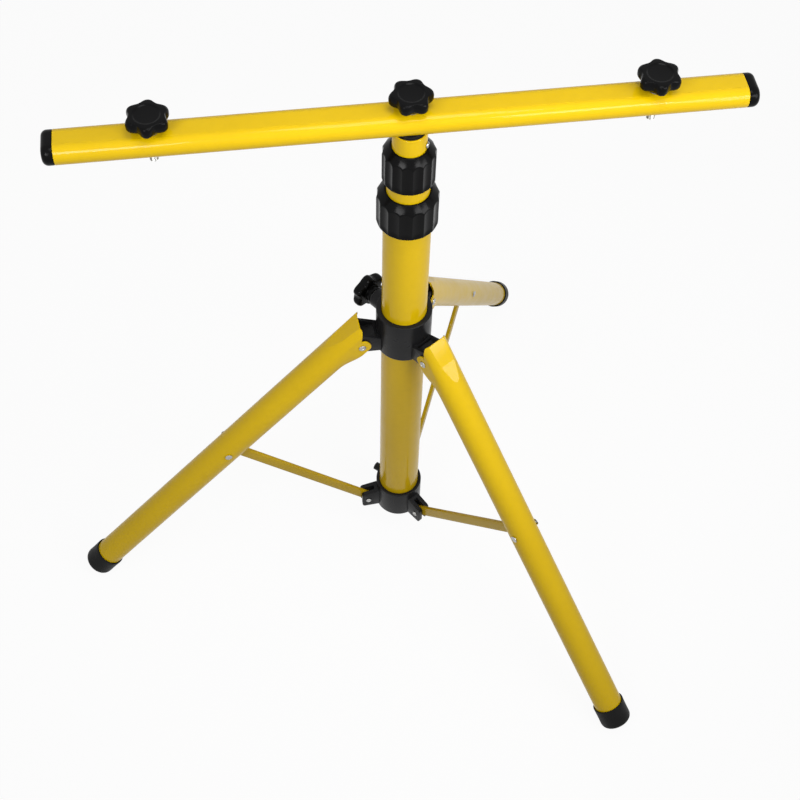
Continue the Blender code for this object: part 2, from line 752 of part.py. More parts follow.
def build_leg(name, azimuth):
    frame = leg_frame(azimuth)
    downs = leg_stations()
    outside = [leg_ring(down, 0.0) for down in downs]
    inside = [leg_ring(down, LEG_WALL) for down in reversed(downs)]
    leg = finished("leg_" + name, loft(outside + inside, closed=True), frame, YELLOW, 0.3)

    slot = block(
        (-ACROSS, -STRUT_SLOT_HALF, -STRUT_ON_LEG - STRUT_SLOT_BELOW),
        (LEG_OFFSET - 0.0020, STRUT_SLOT_HALF, -STRUT_ON_LEG + STRUT_SLOT_ABOVE),
    )
    cut(leg, helper("strut_slot_" + name, slot, frame))
    rivet_hole = rod(STUB_R + GAP, -ACROSS, ACROSS)
    rivet_axis = frame @ shifted(STRUT_RIVET_OUT, 0, -STRUT_ON_LEG) @ about_x(90)
    cut(leg, helper("leg_rivet_hole_" + name, rivet_hole, rivet_axis))
    pivot_hole = rod(LEG_PIN_R + GAP, -ACROSS, ACROSS)
    cut(leg, helper("fork_pin_hole_" + name, pivot_hole, frame @ about_x(90)))
    opening = block(
        (-ACROSS, -FORK_OPENING_HALF, -FORK_OPENING_END),
        (FORK_OPENING_EDGE, FORK_OPENING_HALF, ACROSS),
    )
    cut(leg, helper("fork_opening_" + name, opening, frame))
    cut(leg, helper("fork_end_" + name, plate(fork_outline(), LEG_R * 1.5), frame))
    return leg


def build_foot(name, azimuth, ground):
    """A rubber cap over the leg's end, worn flat where it stands on the ground."""
    sleeve = LEG_R + GAP
    top = -(LEG_LENGTH - FOOT_SLEEVE)
    end = -LEG_LENGTH
    rounding = arc(FOOT_R - FOOT_ROUNDING, end + FOOT_ROUNDING, FOOT_ROUNDING, -90, 0, 4)
    profile = [
        (0, end), *rounding, (FOOT_R, top), (sleeve, top), (sleeve, end + FOOT_END), (0, end + FOOT_END),
    ]
    frame = leg_frame(azimuth) @ shifted(LEG_OFFSET, 0, 0)
    cap = finished("foot_" + name, spin(profile, LEG_FACETS, closed=False), frame, RUBBER, 0.7)
    cut(cap, ground)
    return cap


def build_strut(name, azimuth):
    """A flat bar, narrower inside the leg, where its end swings close to the tube's wall."""
    length = strut_span()[0]
    half = STRUT_WIDTH / 2
    neck = length - STRUT_TIP_LENGTH
    tip = arc(length, 0, STRUT_TIP_R, -90, 90, 8)
    root = arc(0, 0, half, 90, 270, 8)
    outline = tip + [(neck, half)] + root + [(neck, -half)]
    bar = plate(outline, STRUT_HALF_THICKNESS)
    strut = finished("strut_" + name, bar, strut_frame(azimuth), YELLOW, 0.3)
    for label, x in (("inner", 0.0), ("outer", length)):
        eye = rod(STRUT_EYE, -ACROSS, ACROSS)
        place = strut_frame(azimuth) @ shifted(x, 0, 0) @ about_x(90)
        cut(strut, helper("strut_eye_" + label + "_" + name, eye, place))
    return strut


# Crossbar


def oval(x, inset, shrink=0.0):
    """One flat-oval section of the crossbar at X, inset all round."""
    radius = BAR_HEIGHT / 2 - inset - shrink
    middle = (BAR_WIDTH - BAR_HEIGHT) / 2
    points = []
    for centre, start in ((middle, -90), (-middle, 90)):
        for i in range(OVAL_FACETS + 1):
            turn = radians(start + 180 * i / OVAL_FACETS)
            points.append((x, centre + radius * cos(turn), radius * sin(turn)))
    return points


def build_bar():
    """The crossbar, with a shallow relief round each lamp stud, so that a lamp's foot bears beside it."""
    frame = MAST @ shifted(0, 0, BAR_Z)
    end = BAR_LENGTH / 2
    rings = [
        oval(BAR_SHIFT - end, 0), oval(BAR_SHIFT + end, 0),
        oval(BAR_SHIFT + end, BAR_WALL), oval(BAR_SHIFT - end, BAR_WALL),
    ]
    bar = finished("cross_bar", loft(rings, closed=True), frame, YELLOW, 0.3)
    centre_hole = rod(BAR_HOLE_R, -ACROSS, ACROSS)
    cut(bar, helper("bar_centre_hole", centre_hole, frame))
    for side, x in lamp_places():
        relief = block(
            (-RELIEF_HALF, -BAR_WIDTH, BAR_HEIGHT / 2 - RELIEF_DEPTH),
            (RELIEF_HALF, BAR_WIDTH, BAR_HEIGHT),
        )
        cut(bar, helper("bar_relief_" + side, relief, frame @ shifted(x, 0, 0)))
        upper = rod(BAR_HOLE_R, 0, ACROSS)
        cut(bar, helper("bar_upper_hole_" + side, upper, frame @ shifted(x, 0, 0)))
        lower = rod(RIVNUT_SLEEVE_R + GAP, -ACROSS, 0)
        cut(bar, helper("bar_lower_hole_" + side, lower, frame @ shifted(x, 0, 0)))

        flange_top = -BAR_HEIGHT / 2 - GAP
        nut = [
            (STUD_R + GAP, flange_top - RIVNUT_FLANGE), (RIVNUT_FLANGE_R, flange_top - RIVNUT_FLANGE),
            (RIVNUT_FLANGE_R, flange_top), (RIVNUT_SLEEVE_R, flange_top),
            (RIVNUT_SLEEVE_R, flange_top + RIVNUT_HEIGHT), (STUD_R + GAP, flange_top + RIVNUT_HEIGHT),
        ]
        finished("rivet_nut_" + side, spin(nut, RIVNUT_FACETS), frame @ shifted(x, 0, 0), ZINC, 0.3, 1.0)

    for side, turn, shift in (("left", 180, -BAR_SHIFT), ("right", 0, BAR_SHIFT)):
        end = BAR_LENGTH / 2 + shift
        face = []
        for i in range(CAP_STEPS + 1):
            angle = radians(90 * i / CAP_STEPS)
            face.append(oval(
                end + CAP_OUT - CAP_ROUNDING + CAP_ROUNDING * sin(angle), 0,
                CAP_ROUNDING * (1 - cos(angle)) * 0.999,
            ))
        insert = BAR_WALL + GAP
        rings = [oval(end - CAP_INSERT, insert), oval(end + GAP, insert), oval(end + GAP, 0)] + face
        finished("bar_cap_" + side, loft(rings), frame @ about_z(turn), BLACK, 0.4)


# Star knobs


def knob_ring(radius, dip, turned, z):
    """One ring of a star knob: lobes out to a radius, with dips between them."""
    count = LOBES * LOBE_POINTS
    points = []
    for i in range(count):
        turn = tau * i / count
        reach = radius - dip * (0.5 - 0.5 * cos(LOBES * turn)) ** 1.1
        around = turn + radians(turned)
        points.append((reach * cos(around), reach * sin(around), z))
    return points


def build_knob(name, frame, stud_tip):
    """A star knob on its stud, with the washer under it."""
    turned = KNOB_TURNS[name]
    seat = WASHER_THICKNESS + 2 * GAP
    under = seat + KNOB_BOSS
    top = under + KNOB_HEAD
    socket = STUD_R + GAP
    deep = seat + STUD_IN_KNOB
    steps = [
        (socket, 0, deep), (socket, 0, seat), (KNOB_BOSS_R, 0, seat), (KNOB_BOSS_R, 0, under),
        (KNOB_R * 0.92, KNOB_DIP, under), (KNOB_R * 0.99, KNOB_DIP, under + 0.0020),
        (KNOB_R, KNOB_DIP, top - 0.0045), (KNOB_R * 0.98, KNOB_DIP, top - 0.0026),
        (KNOB_R * 0.94, KNOB_DIP * 0.85, top - 0.0010), (KNOB_R * 0.86, KNOB_DIP * 0.5, top),
        (KNOB_CREST_R, 0, top), (KNOB_DISH_R, 0, top - KNOB_DISH),
    ]
    rings = [knob_ring(radius, dip, turned, z) for radius, dip, z in steps]
    finished("knob_" + name, loft(rings), frame, BLACK, 0.4)
    stud = [
        (0, stud_tip), (STUD_R * 0.75, stud_tip), (STUD_R, stud_tip + 0.0010),
        (STUD_R, deep - GAP), (0, deep - GAP),
    ]
    finished("stud_" + name, spin(stud, SMALL_FACETS, closed=False), frame, ZINC, 0.3, 1.0)
    washer = [
        (STUD_R + GAP, GAP), (WASHER_R, GAP), (WASHER_R, GAP + WASHER_THICKNESS),
        (STUD_R + GAP, GAP + WASHER_THICKNESS),
    ]
    if name == "hub":
        finished("washer_" + name, spin(washer, WASHER_FACETS), frame, NYLON, 0.5)
    else:
        finished("washer_" + name, spin(washer, WASHER_FACETS), frame, ZINC, 0.3, 1.0)


def main():
    clear_scene()
    build_mast()
    build_plug()
    build_upper_hub()
    build_lower_hub()
    ground = helper("ground", block((-1, -1, -0.05), (1, 1, 0)), Matrix.Identity(4))
    for name, azimuth in zip(LEG_NAMES, LEG_AZIMUTHS):
        build_leg(name, azimuth)
        build_foot(name, azimuth, ground)
        build_strut(name, azimuth)
        build_rivets(name, azimuth)
    build_bar()
    for side, x in lamp_places():
        build_knob(side, knob_frame(x), -BAR_HEIGHT - LAMP_STUD_BELOW)
    build_knob("centre", knob_frame(0), -CENTRE_STUD_DEPTH)
    build_knob("hub", hub_knob_frame(), OUTER_R + GAP - BOSS_END)


main()
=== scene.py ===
# %% [markdown]
# # A folding tripod stand for two work lights
#
# The real stand is made of painted steel tube with black moulded fittings: a telescopic mast with
# two twist collars, a crossbar with three star knobs, a sliding hub with three legs, and a fixed hub
# whose flat struts hold the legs open.
#
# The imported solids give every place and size. This lesson draws each visible piece again, as a fine
# smooth surface in the same place, and gives every piece a finish that is worked out by nodes.

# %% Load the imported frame
import json
from math import cos, radians, sin, tau

import bmesh
import bpy
import numpy as np
from mathutils import Matrix


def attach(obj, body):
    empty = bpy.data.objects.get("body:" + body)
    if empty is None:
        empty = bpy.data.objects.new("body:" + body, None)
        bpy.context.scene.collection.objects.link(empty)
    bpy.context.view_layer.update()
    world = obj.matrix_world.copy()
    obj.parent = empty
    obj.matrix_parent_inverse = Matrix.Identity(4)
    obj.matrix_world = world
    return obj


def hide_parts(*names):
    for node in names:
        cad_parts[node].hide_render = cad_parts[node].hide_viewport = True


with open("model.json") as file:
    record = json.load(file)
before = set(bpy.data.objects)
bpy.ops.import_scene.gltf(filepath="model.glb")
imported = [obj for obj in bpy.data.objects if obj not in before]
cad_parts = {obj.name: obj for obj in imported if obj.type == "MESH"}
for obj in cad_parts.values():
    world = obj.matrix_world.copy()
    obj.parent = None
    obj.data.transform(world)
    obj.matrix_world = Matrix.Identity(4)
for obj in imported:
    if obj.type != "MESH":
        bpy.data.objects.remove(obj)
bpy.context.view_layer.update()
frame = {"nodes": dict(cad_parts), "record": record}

# %% [markdown]
# ## Sizes
#
# A maker works from a list of sizes. These are the stand's own, in metres and degrees, and they are
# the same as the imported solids'. The mast stands a little off the origin, because the origin is under
# the middle of the whole stand. A pivot is how far out from the mast's axis and how high it lies, and
# a name that ends in HOLE, BORE or POCKET is a radius. GAP is the play between two pieces, ACROSS
# reaches from the middle out through any fitting, and PAST is how far a cut runs past a face.

# %% Sizes of the stand
MAST_X, MAST_Y = 0.0418, -0.0088
LEGS = {"left": 184.5, "front": 304.5, "rear": 60.5}
LEG_ANGLE = 40.8
LEG_PIVOT = (0.0484, 0.3958)
STRUT_PIVOT = (0.0404, 0.0576)
LEG_R, LEG_WALL, LEG_OFFSET, LEG_LENGTH, LEG_TOP = 0.0167, 0.0015, 0.0070, 0.5157, 0.0197
STRUT_ON_LEG, STRUT_RIVET_OUT = 0.2306, 0.0105
OUTER_R, MIDDLE_R, INNER_R, WALL = 0.0240, 0.0211, 0.0164, 0.0015
OUTER_TOP, MIDDLE_TOP, INNER_TOP = 0.5990, 0.6520, 0.6927
BAR_Z, BAR_LENGTH, BAR_WIDTH, BAR_HEIGHT = 0.7063, 0.6215, 0.0356, 0.0214
BAR_TOP = BAR_Z + BAR_HEIGHT / 2
BAR_SHIFT, LAMP_X = -0.0032, 0.2269
KNOB_AZIMUTH, KNOB_Z, BOSS_END = 127.0, 0.4150, 0.0420
STUD_HOLE, STUD_BORE, NUT_POCKET = 0.0046, 0.0043, 0.0079
PIN_HOLE, RIVET_HOLE, SCREW_HOLE = 0.0027, 0.0023, 0.0019
GAP = 0.0003
ACROSS = 0.0300
PAST = 0.0020
print("mast at", (MAST_X, MAST_Y), "legs point to", LEGS)

# %% [markdown]
# ## Frames
#
# Each fitting is drawn in a simple frame of its own and then carried to its place. A frame is a 4 by 4
# array. Blender could carry the objects instead, but a piece whose place is in its mesh keeps its
# pattern still when the stand folds.


# %% Frames of the moving groups
def shift(x, y, z):
    """A frame moved by x, y, z."""
    moved = np.eye(4)
    moved[:3, 3] = x, y, z
    return moved


def turned_about(axis, degrees):
    """A frame turned about one axis: cosines on the diagonal and sines beside it."""
    c, s = cos(radians(degrees)), sin(radians(degrees))
    first, second = {"X": (1, 2), "Y": (2, 0), "Z": (0, 1)}[axis]
    made = np.eye(4)
    made[first, first] = made[second, second] = c
    made[first, second], made[second, first] = -s, s
    return made


def carried(points, place):
    """Points of a piece's own frame, turned and moved into the stand's frame."""
    return np.asarray(points, float) @ place[:3, :3].T + place[:3, 3]


MAST = shift(MAST_X, MAST_Y, 0)


def spoke(azimuth):
    """The mast's frame with +X turned out to an azimuth."""
    return MAST @ turned_about("Z", azimuth)


def outwards(azimuth, height, out=0.0):
    """At a height on the mast's axis, or out from it, with +Z pointing out to an azimuth."""
    return spoke(azimuth) @ shift(out, 0, height) @ turned_about("Y", 90)


def pin_axis(place, out, up, turn=90):
    """A pin's frame at (out, up) of a place, with Z running across it."""
    return place @ shift(out, 0, up) @ turned_about("X", turn)


def leg_frame(azimuth):
    """On the leg's pivot: -Z runs down the leg and +X points away from the mast."""
    return spoke(azimuth) @ shift(LEG_PIVOT[0], 0, LEG_PIVOT[1]) @ turned_about("Y", -LEG_ANGLE)


def strut_span():
    """The strut's length between its rivets and its slope, from the two rivets' places."""
    turn = radians(LEG_ANGLE)
    out = LEG_PIVOT[0] + STRUT_ON_LEG * sin(turn) + STRUT_RIVET_OUT * cos(turn) - STRUT_PIVOT[0]
    up = LEG_PIVOT[1] - STRUT_ON_LEG * cos(turn) + STRUT_RIVET_OUT * sin(turn) - STRUT_PIVOT[1]
    return float(np.hypot(out, up)), float(np.degrees(np.arctan2(up, out)))


def strut_frame(azimuth):
    """On the strut's rivet in the fixed hub, with +X along the strut."""
    place = spoke(azimuth) @ shift(STRUT_PIVOT[0], 0, STRUT_PIVOT[1])
    return place @ turned_about("Y", -strut_span()[1])


def knob_frame(x, turn):
    """On the crossbar's top face under a knob."""
    return MAST @ shift(x, 0, BAR_TOP) @ turned_about("Z", turn)


BOSS = outwards(KNOB_AZIMUTH, KNOB_Z)
HUB_KNOB = outwards(KNOB_AZIMUTH, KNOB_Z, BOSS_END)
print("strut length and slope:", strut_span())

# %% [markdown]
# ## Surfaces
#
# Nearly everything on this stand is a tube, a turned fitting or a moulded shape that changes slowly
# round its axis. So one helper is enough for most of it: a grid of points, rows by columns, that
# closes round its columns. A modelled cylinder with loop cuts would do for a tube, but not for the
# fluted collars, the star knobs or the pressed fork ends, which are plain formulas on a grid.


# %% From a grid of points to a mesh
def grid_faces(rows, cols, ring=False, open_columns=False):
    """Corner numbers of the grid's four-sided faces, row by row; ring joins the last row to the first."""
    row = np.arange(rows if ring else rows - 1)[:, None]
    col = np.arange(cols - 1 if open_columns else cols)[None, :]
    below, beside = (row + 1) % rows, (col + 1) % cols
    corners = [row * cols + col, row * cols + beside, below * cols + beside, below * cols + col]
    return np.stack(np.broadcast_arrays(*corners), -1).reshape(-1, 4)


def in_scene(name, data):
    """A new object that shows a mesh, a lamp or a camera."""
    made = bpy.data.objects.new(name, data)
    bpy.context.scene.collection.objects.link(made)
    return made


def mesh_piece(name, points, faces):
    """An object from points and faces, with doubles merged and every face turned outwards."""
    mesh = bpy.data.meshes.new(name)
    mesh.from_pydata(np.asarray(points).tolist(), [], faces)
    work = bmesh.new()
    work.from_mesh(mesh)
    bmesh.ops.remove_doubles(work, verts=work.verts, dist=1e-6)
    bmesh.ops.dissolve_degenerate(work, edges=work.edges, dist=1e-7)
    bmesh.ops.recalc_face_normals(work, faces=work.faces)
    work.to_mesh(mesh)
    work.free()
    return in_scene(name, mesh)


def skin(name, grid, place, ring=False, start=None, end=None):
    """A closed mesh from a grid that closes round its columns.

    ring joins the last row to the first. start and end are points that close the first and the last
    row with a fan of triangles.
    """
    rows, cols = grid.shape[:2]
    points = grid.reshape(-1, 3)
    faces = grid_faces(rows, cols, ring).tolist()
    round_column = np.arange(cols)
    for row, tip in ((0, start), (rows - 1, end)):
        if tip is not None:
            centre = np.full(cols, len(points))
            points = np.vstack([points, tip])
            fan = [row * cols + round_column, row * cols + (round_column + 1) % cols, centre]
            faces += np.stack(fan, 1).tolist()
    return mesh_piece(name, carried(points, place), faces)


def rounded(corners, radii, steps=5, closed=False):
    """A line through corners, each corner replaced by a curve.

    The curve runs from a point before the corner to one after it, weighted (1-t)^2, 2t(1-t) and t^2
    between the two and the corner. radii says how far from the corner it starts and ends.
    """
    corners = np.asarray(corners, float)
    radii = np.broadcast_to(np.asarray(radii, float), len(corners))
    t = np.linspace(0, 1, steps + 1)[:, None]
    line = []
    for i, corner in enumerate(corners):
        inner = closed or 0 < i < len(corners) - 1
        if not inner or radii[i] <= 0:
            line.append(corner[None, :])
            continue
        before, after = corners[i - 1] - corner, corners[(i + 1) % len(corners)] - corner
        first = corner + before / np.linalg.norm(before) * min(radii[i], 0.49 * np.linalg.norm(before))
        last = corner + after / np.linalg.norm(after) * min(radii[i], 0.49 * np.linalg.norm(after))
        line.append((1 - t) ** 2 * first + 2 * t * (1 - t) * corner + t ** 2 * last)
    return np.vstack(line)


def turned_grid(radii, heights, angle):
    """Points round the axis, a row for each height: x = r cos a, y = r sin a."""
    return np.stack([radii * np.cos(angle), radii * np.sin(angle), heights[:, None] + 0 * angle], -1)


def lathe(name, profile, place, steps=96):
    """A profile of radius and height turned about Z.

    A profile that starts and ends on the axis closes there; any other closes on itself as a ring.
    """
    profile = np.asarray(profile, float)
    on_axis = profile[0, 0] < 1e-9 and profile[-1, 0] < 1e-9
    body = profile[1:-1] if on_axis else profile
    grid = turned_grid(body[:, :1], body[:, 1], np.linspace(0, tau, steps, endpoint=False))
    if on_axis:
        return skin(name, grid, place, start=(0, 0, profile[0, 1]), end=(0, 0, profile[-1, 1]))
    return skin(name, grid, place, ring=True)


def ring_section(inner, outer, low, high, lips, steps):
    """The cross-section of a wall round the axis: four corners, each rounded by its lip."""
    return rounded([(inner, low), (outer, low), (outer, high), (inner, high)], lips, steps, True)


print("surface helpers ready")

# %% [markdown]
# ## Cuts and joins
#
# The moulded hubs are a sleeve with lugs grown out of it, and the legs and the crossbar have drilled
# holes. A Boolean is the plain way to say that. It is made final at once, so that the piece ends as
# one ordinary mesh.


# %% Joining and cutting solids
def made_final(piece):
    """Works the piece's modifiers into its mesh."""
    bpy.context.view_layer.update()
    shape = piece.evaluated_get(bpy.context.evaluated_depsgraph_get())
    made = bpy.data.meshes.new_from_object(shape)
    piece.modifiers.clear()
    piece.data = made
    return piece


def combined(piece, tools, operation):
    """The piece with every tool joined to it or cut from it."""
    for tool in tools:
        step = piece.modifiers.new(operation.lower(), "BOOLEAN")
        step.operation = operation
        step.solver = "EXACT"
        step.object = tool
    made_final(piece)
    for tool in tools:
        bpy.data.objects.remove(tool, do_unlink=True)
    return piece


def plate(name, outline, half, place, edge=0.0004):
    """An outline in the X-Z plane, thick along Y, with softened edges.

    Rows are copies of the outline drawn in towards its middle as they near each face.
    """
    outline = np.asarray(outline, float)
    ahead, behind = np.roll(outline, -1, 0), np.roll(outline, 1, 0)
    along = ahead - behind
    inward = np.stack([-along[:, 1], along[:, 0]], 1) / np.linalg.norm(along, axis=1)[:, None]
    turn = np.linspace(0, np.pi / 2, 4)
    insets = edge * (1 - np.sin(turn))
    sides = half - edge * (1 - np.cos(turn))
    rows = []
    for inset, side in [*zip(insets, -sides), *zip(insets[::-1], sides[::-1])]:
        ring = outline + inward * inset
        rows.append(np.stack([ring[:, 0], np.full(len(ring), side), ring[:, 1]], -1))
    grid = np.stack(rows)
    count = len(outline)
    faces = grid_faces(len(rows), count).tolist()
    faces += [list(range(count)), list(range((len(rows) - 1) * count, len(rows) * count))]
    return mesh_piece(name, carried(grid.reshape(-1, 3), place), faces)


def box(name, low, high, place):
    """A plain box between two corners, only ever used to cut."""
    corners = np.array([[x, y, z] for z in (low[2], high[2]) for x, y in (
        (low[0], low[1]), (high[0], low[1]), (high[0], high[1]), (low[0], high[1]))])
    faces = grid_faces(2, 4).tolist() + [[0, 1, 2, 3], [4, 5, 6, 7]]
    return mesh_piece(name, carried(corners, place), faces)


def rod(name, radius, low, high, place, steps=32):
    """A plain round bar along Z, to cut or to join."""
    return lathe(name, [(0, low), (radius, low), (radius, high), (0, high)], place, steps)


def arc(centre, radius, start, end, steps):
    """Points on a circle, angles in degrees: centre plus radius times cosine and sine."""
    turn = np.radians(np.linspace(start, end, steps + 1))
    return np.stack([centre[0] + radius * np.cos(turn), centre[1] + radius * np.sin(turn)], -1)


print("cutting helpers ready")

# %% [markdown]
# ## Finishes
#
# Each finish is one node tree on Object coordinates. They share a way of working: a broad, faint
# drift of colour that any large surface has, a medium noise that makes the gloss uneven, and a fine
# bump for the skin of the material. Nothing is flat, and nothing depends on where the camera stands.


# %% Building blocks for finishes
def wired(tree, node, **inputs):
    """Fills a node's inputs: a socket is linked to its input, and anything else is set on it."""
    for name, value in inputs.items():
        socket = node.inputs[name.replace("_", " ")]
        if isinstance(value, bpy.types.NodeSocket):
            tree.links.new(value, socket)
        else:
            socket.default_value = value
    return node


def stretched(tree, value, to_low, to_high, low=0.0, high=1.0):
    """The value between low and high, stretched to lie between to_low and to_high."""
    step = wired(tree, tree.nodes.new("ShaderNodeMapRange"), Value=value,
                 From_Min=low, From_Max=high, To_Min=to_low, To_Max=to_high)
    return step.outputs["Result"]


class Finish:
    """A material whose colour, gloss and bump come from noise on Object coordinates."""

    def __init__(self, name):
        self.material = bpy.data.materials.new(name)
        self.material.use_nodes = True
        self.tree = self.material.node_tree
        self.place = self.tree.nodes.new("ShaderNodeTexCoord").outputs["Object"]
        self.relief = {}

    def noise(self, scale, detail=2.0, roughness=0.5):
        """Noise with about scale waves in a metre; detail adds finer ones, as strong as roughness says."""
        texture = wired(self.tree, self.tree.nodes.new("ShaderNodeTexNoise"), Vector=self.place,
                        Scale=scale, Detail=detail, Roughness=roughness)
        return texture.outputs["Fac"]

    def drift(self, noise, low, high, to_low=0.0, to_high=1.0):
        """Noise between low and high, stretched to lie between to_low and to_high."""
        return stretched(self.tree, noise, to_low, to_high, low, high)

    def mixed(self, share, first, second):
        """A colour between two, by share; either may be a socket."""
        mix = self.tree.nodes.new("ShaderNodeMix")
        mix.data_type = "RGBA"
        self.tree.links.new(share, mix.inputs["Factor"])
        for slot, colour in (("A", first), ("B", second)):
            socket = [s for s in mix.inputs if s.name == slot and s.type == "RGBA"][0]
            if isinstance(colour, tuple):
                socket.default_value = (*colour, 1.0)
            else:
                self.tree.links.new(colour, socket)
        return [s for s in mix.outputs if s.type == "RGBA"][0]

    def bump(self, height, distance, strength):
        """One more layer of relief, on top of those before it."""
        step = wired(self.tree, self.tree.nodes.new("ShaderNodeBump"), Height=height,
                     Distance=distance, Strength=strength, **self.relief)
        self.relief = {"Normal": step.outputs["Normal"]}

    def finished(self, **inputs):
        """Fills the shader's inputs and gives it the relief."""
        wired(self.tree, self.tree.nodes["Principled BSDF"], **inputs, **self.relief)
        return self.material


# %% [markdown]
# The yellow is a baked powder paint. Close up it has a fine orange-peel skin, its colour drifts a
# little from thick to thin, and its gloss is uneven. A clear coat on the shader gives the sharper
# second reflection that such paint has over its softer first one.


# %% The yellow powder paint
def powder_paint(name, deep, bright, gloss):
    """Paint that drifts from deep to bright, a little darker where it is thin, with two waves of skin."""
    paint = Finish(name)
    cloud = paint.mixed(paint.drift(paint.noise(7.0, 3.0), 0.35, 0.65), deep, bright)
    thin = paint.drift(paint.noise(140.0, 3.0), 0.45, 0.75, 0.0, 0.3)
    paint.bump(paint.noise(620.0), 0.00005, 0.5)
    paint.bump(paint.noise(90.0), 0.00010, 0.3)
    return paint.finished(
        Base_Color=paint.mixed(thin, cloud, tuple(0.93 * c for c in deep)),
        Roughness=paint.drift(paint.noise(48.0, 4.0, 0.6), 0.3, 0.7, *gloss),
        Specular_IOR_Level=0.05, Coat_Weight=0.30, Coat_Roughness=0.07)


YELLOW_PAINT = powder_paint(
    "yellow_powder_paint", (0.80, 0.520, 0.0020), (0.84, 0.555, 0.0030), (0.30, 0.42))
# The struts get a darker copy of the same yellow paint: painted shade, standing in for the shade the struts
# lie in.
SHADED_STRUT_PAINT = powder_paint(
    "shaded_strut_paint", (0.62, 0.405, 0.0060), (0.66, 0.435, 0.0080), (0.34, 0.46))
print("paints:", YELLOW_PAINT.name, SHADED_STRUT_PAINT.name)

# %% [markdown]
# The black fittings are moulded plastic with a fine spark-eroded grain. The hubs' highlights are
# broad, while the knobs and collars come out of a smoother tool, are blacker, and have small sharp
# highlights. The foot caps are rubber, dull and a little dusty. Nylon is the natural, greyer plastic
# of the bushes and collets inside the mast, and of the washer under the locking knob.


# %% Moulded plastics and rubber
def moulded_plastic(name, dark, light, gloss, grain, shine):
    """Plastic with a grain of the given depth in metres; shine is how much of the light it mirrors."""
    plastic = Finish(name)
    cloud = plastic.drift(plastic.noise(28.0, 4.0), 0.3, 0.7)
    plastic.bump(plastic.noise(2200.0, 2.0, 0.6), grain, 0.6)
    plastic.bump(plastic.noise(240.0), grain * 1.5, 0.3)
    return plastic.finished(
        Base_Color=plastic.mixed(cloud, dark, light), Specular_IOR_Level=shine,
        Roughness=plastic.drift(plastic.noise(110.0, 3.0), 0.3, 0.7, *gloss))


HUB_PLASTIC = moulded_plastic(
    "hub_moulding", (0.011, 0.011, 0.012), (0.016, 0.016, 0.017), (0.26, 0.36), 0.00004, 0.12)
KNOB_PLASTIC = moulded_plastic(
    "knob_moulding", (0.0030, 0.0030, 0.0032), (0.0045, 0.0045, 0.0048), (0.13, 0.20), 0.00003, 0.07)
FOOT_RUBBER = moulded_plastic(
    "cap_rubber", (0.005, 0.005, 0.005), (0.009, 0.009, 0.009), (0.44, 0.58), 0.00006, 0.12)
NYLON = moulded_plastic(
    "moulded_nylon", (0.050, 0.050, 0.050), (0.070, 0.070, 0.068), (0.45, 0.58), 0.00002, 0.3)
print("plastics ready")

# %% [markdown]
# Studs, nuts, washers and rivets are zinc plated. Zinc is a pale metal whose gloss is cloudy from
# handling, with faint marks from the tool that turned or pressed it.


# %% Zinc plate
def zinc_plate(name, dark, light, gloss):
    """Metal that is cloudy between dark and light, with fine marks."""
    zinc = Finish(name)
    cloud = zinc.drift(zinc.noise(170.0, 4.0, 0.6), 0.3, 0.7)
    zinc.bump(zinc.noise(1400.0), 0.00003, 0.4)
    return zinc.finished(
        Base_Color=zinc.mixed(cloud, dark, light), Metallic=1.0,
        Roughness=zinc.drift(zinc.noise(420.0, 3.0), 0.3, 0.7, *gloss))


ZINC = zinc_plate("zinc_plate", (0.32, 0.32, 0.31), (0.50, 0.50, 0.49), (0.24, 0.38))
print("metal ready:", ZINC.name)

# %% [markdown]
# ## Placing a piece
#
# Every piece rides on the body that carries it, stands for the imported node in the same place, and gets its
# finish.

# %% Placing a piece
BODY_OF = {n: b for b, members in frame["record"]["behaviour"]["bodies"].items() for n in members}


def placed(piece, node, material, sharp=40.0):
    """Gives the piece its finish and its shading, and puts it on the body of the node it stands for."""
    piece.data.materials.clear()
    piece.data.materials.append(material)
    piece.data.shade_smooth()
    piece.data.set_sharp_from_angle(angle=radians(sharp))
    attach(piece, BODY_OF[node])
    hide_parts(node)
    print(f"{piece.name}: {len(piece.data.polygons)} faces on {BODY_OF[node]}")
    return piece


# %% [markdown]
# ## Mast
#
# The mast is three steel tubes, one inside another. A tube is a wall's cross-section turned about the
# axis; its lips are rounded as a saw cut is after painting.

# %% Mast tubes
TUBE_LIP = 0.0005


def mast_tube(name, radius, low, high):
    """A tube's wall from low to high, turned."""
    return lathe(name, ring_section(radius - WALL, radius, low, high, TUBE_LIP, 4), MAST, 128)


placed(mast_tube("outer_mast_tube", OUTER_R, 0.0460, OUTER_TOP), "outer_tube", YELLOW_PAINT)
placed(mast_tube("middle_mast_tube", MIDDLE_R, 0.0620, MIDDLE_TOP), "middle_tube", YELLOW_PAINT)
inner_mast = mast_tube("inner_mast_tube", INNER_R, 0.0913, INNER_TOP)
SIDE_SCREW = outwards(-26.0, 0.6780)
screw_hole = rod("side_screw_hole", SCREW_HOLE, INNER_R / 2, INNER_R * 1.3, SIDE_SCREW)
placed(combined(inner_mast, [screw_hole], "DIFFERENCE"), "inner_tube", YELLOW_PAINT)

# %% [markdown]
# A twist collar is a thick ring with sixteen grip flutes under a cone. The flutes run straight down the
# skirt with sharp ridges between them, and where they meet the cone they end in arches. Taking the
# smaller of the cone's radius and the flute's radius at every point draws those arches by itself.


# %% Twist collars
FLUTES = 16
FLUTE_DEPTH = 0.0016


def smooth_step(value):
    """A smooth rise from 0 to 1: 3 v^2 - 2 v^3."""
    value = np.clip(value, 0, 1)
    return value * value * (3 - 2 * value)


def soft_minimum(first, second, soft):
    """The smaller of two values, with the crease between them rounded over the distance soft."""
    share = np.clip(0.5 + 0.5 * (second - first) / soft, 0, 1)
    return second + (first - second) * share - soft * share * (1 - share)


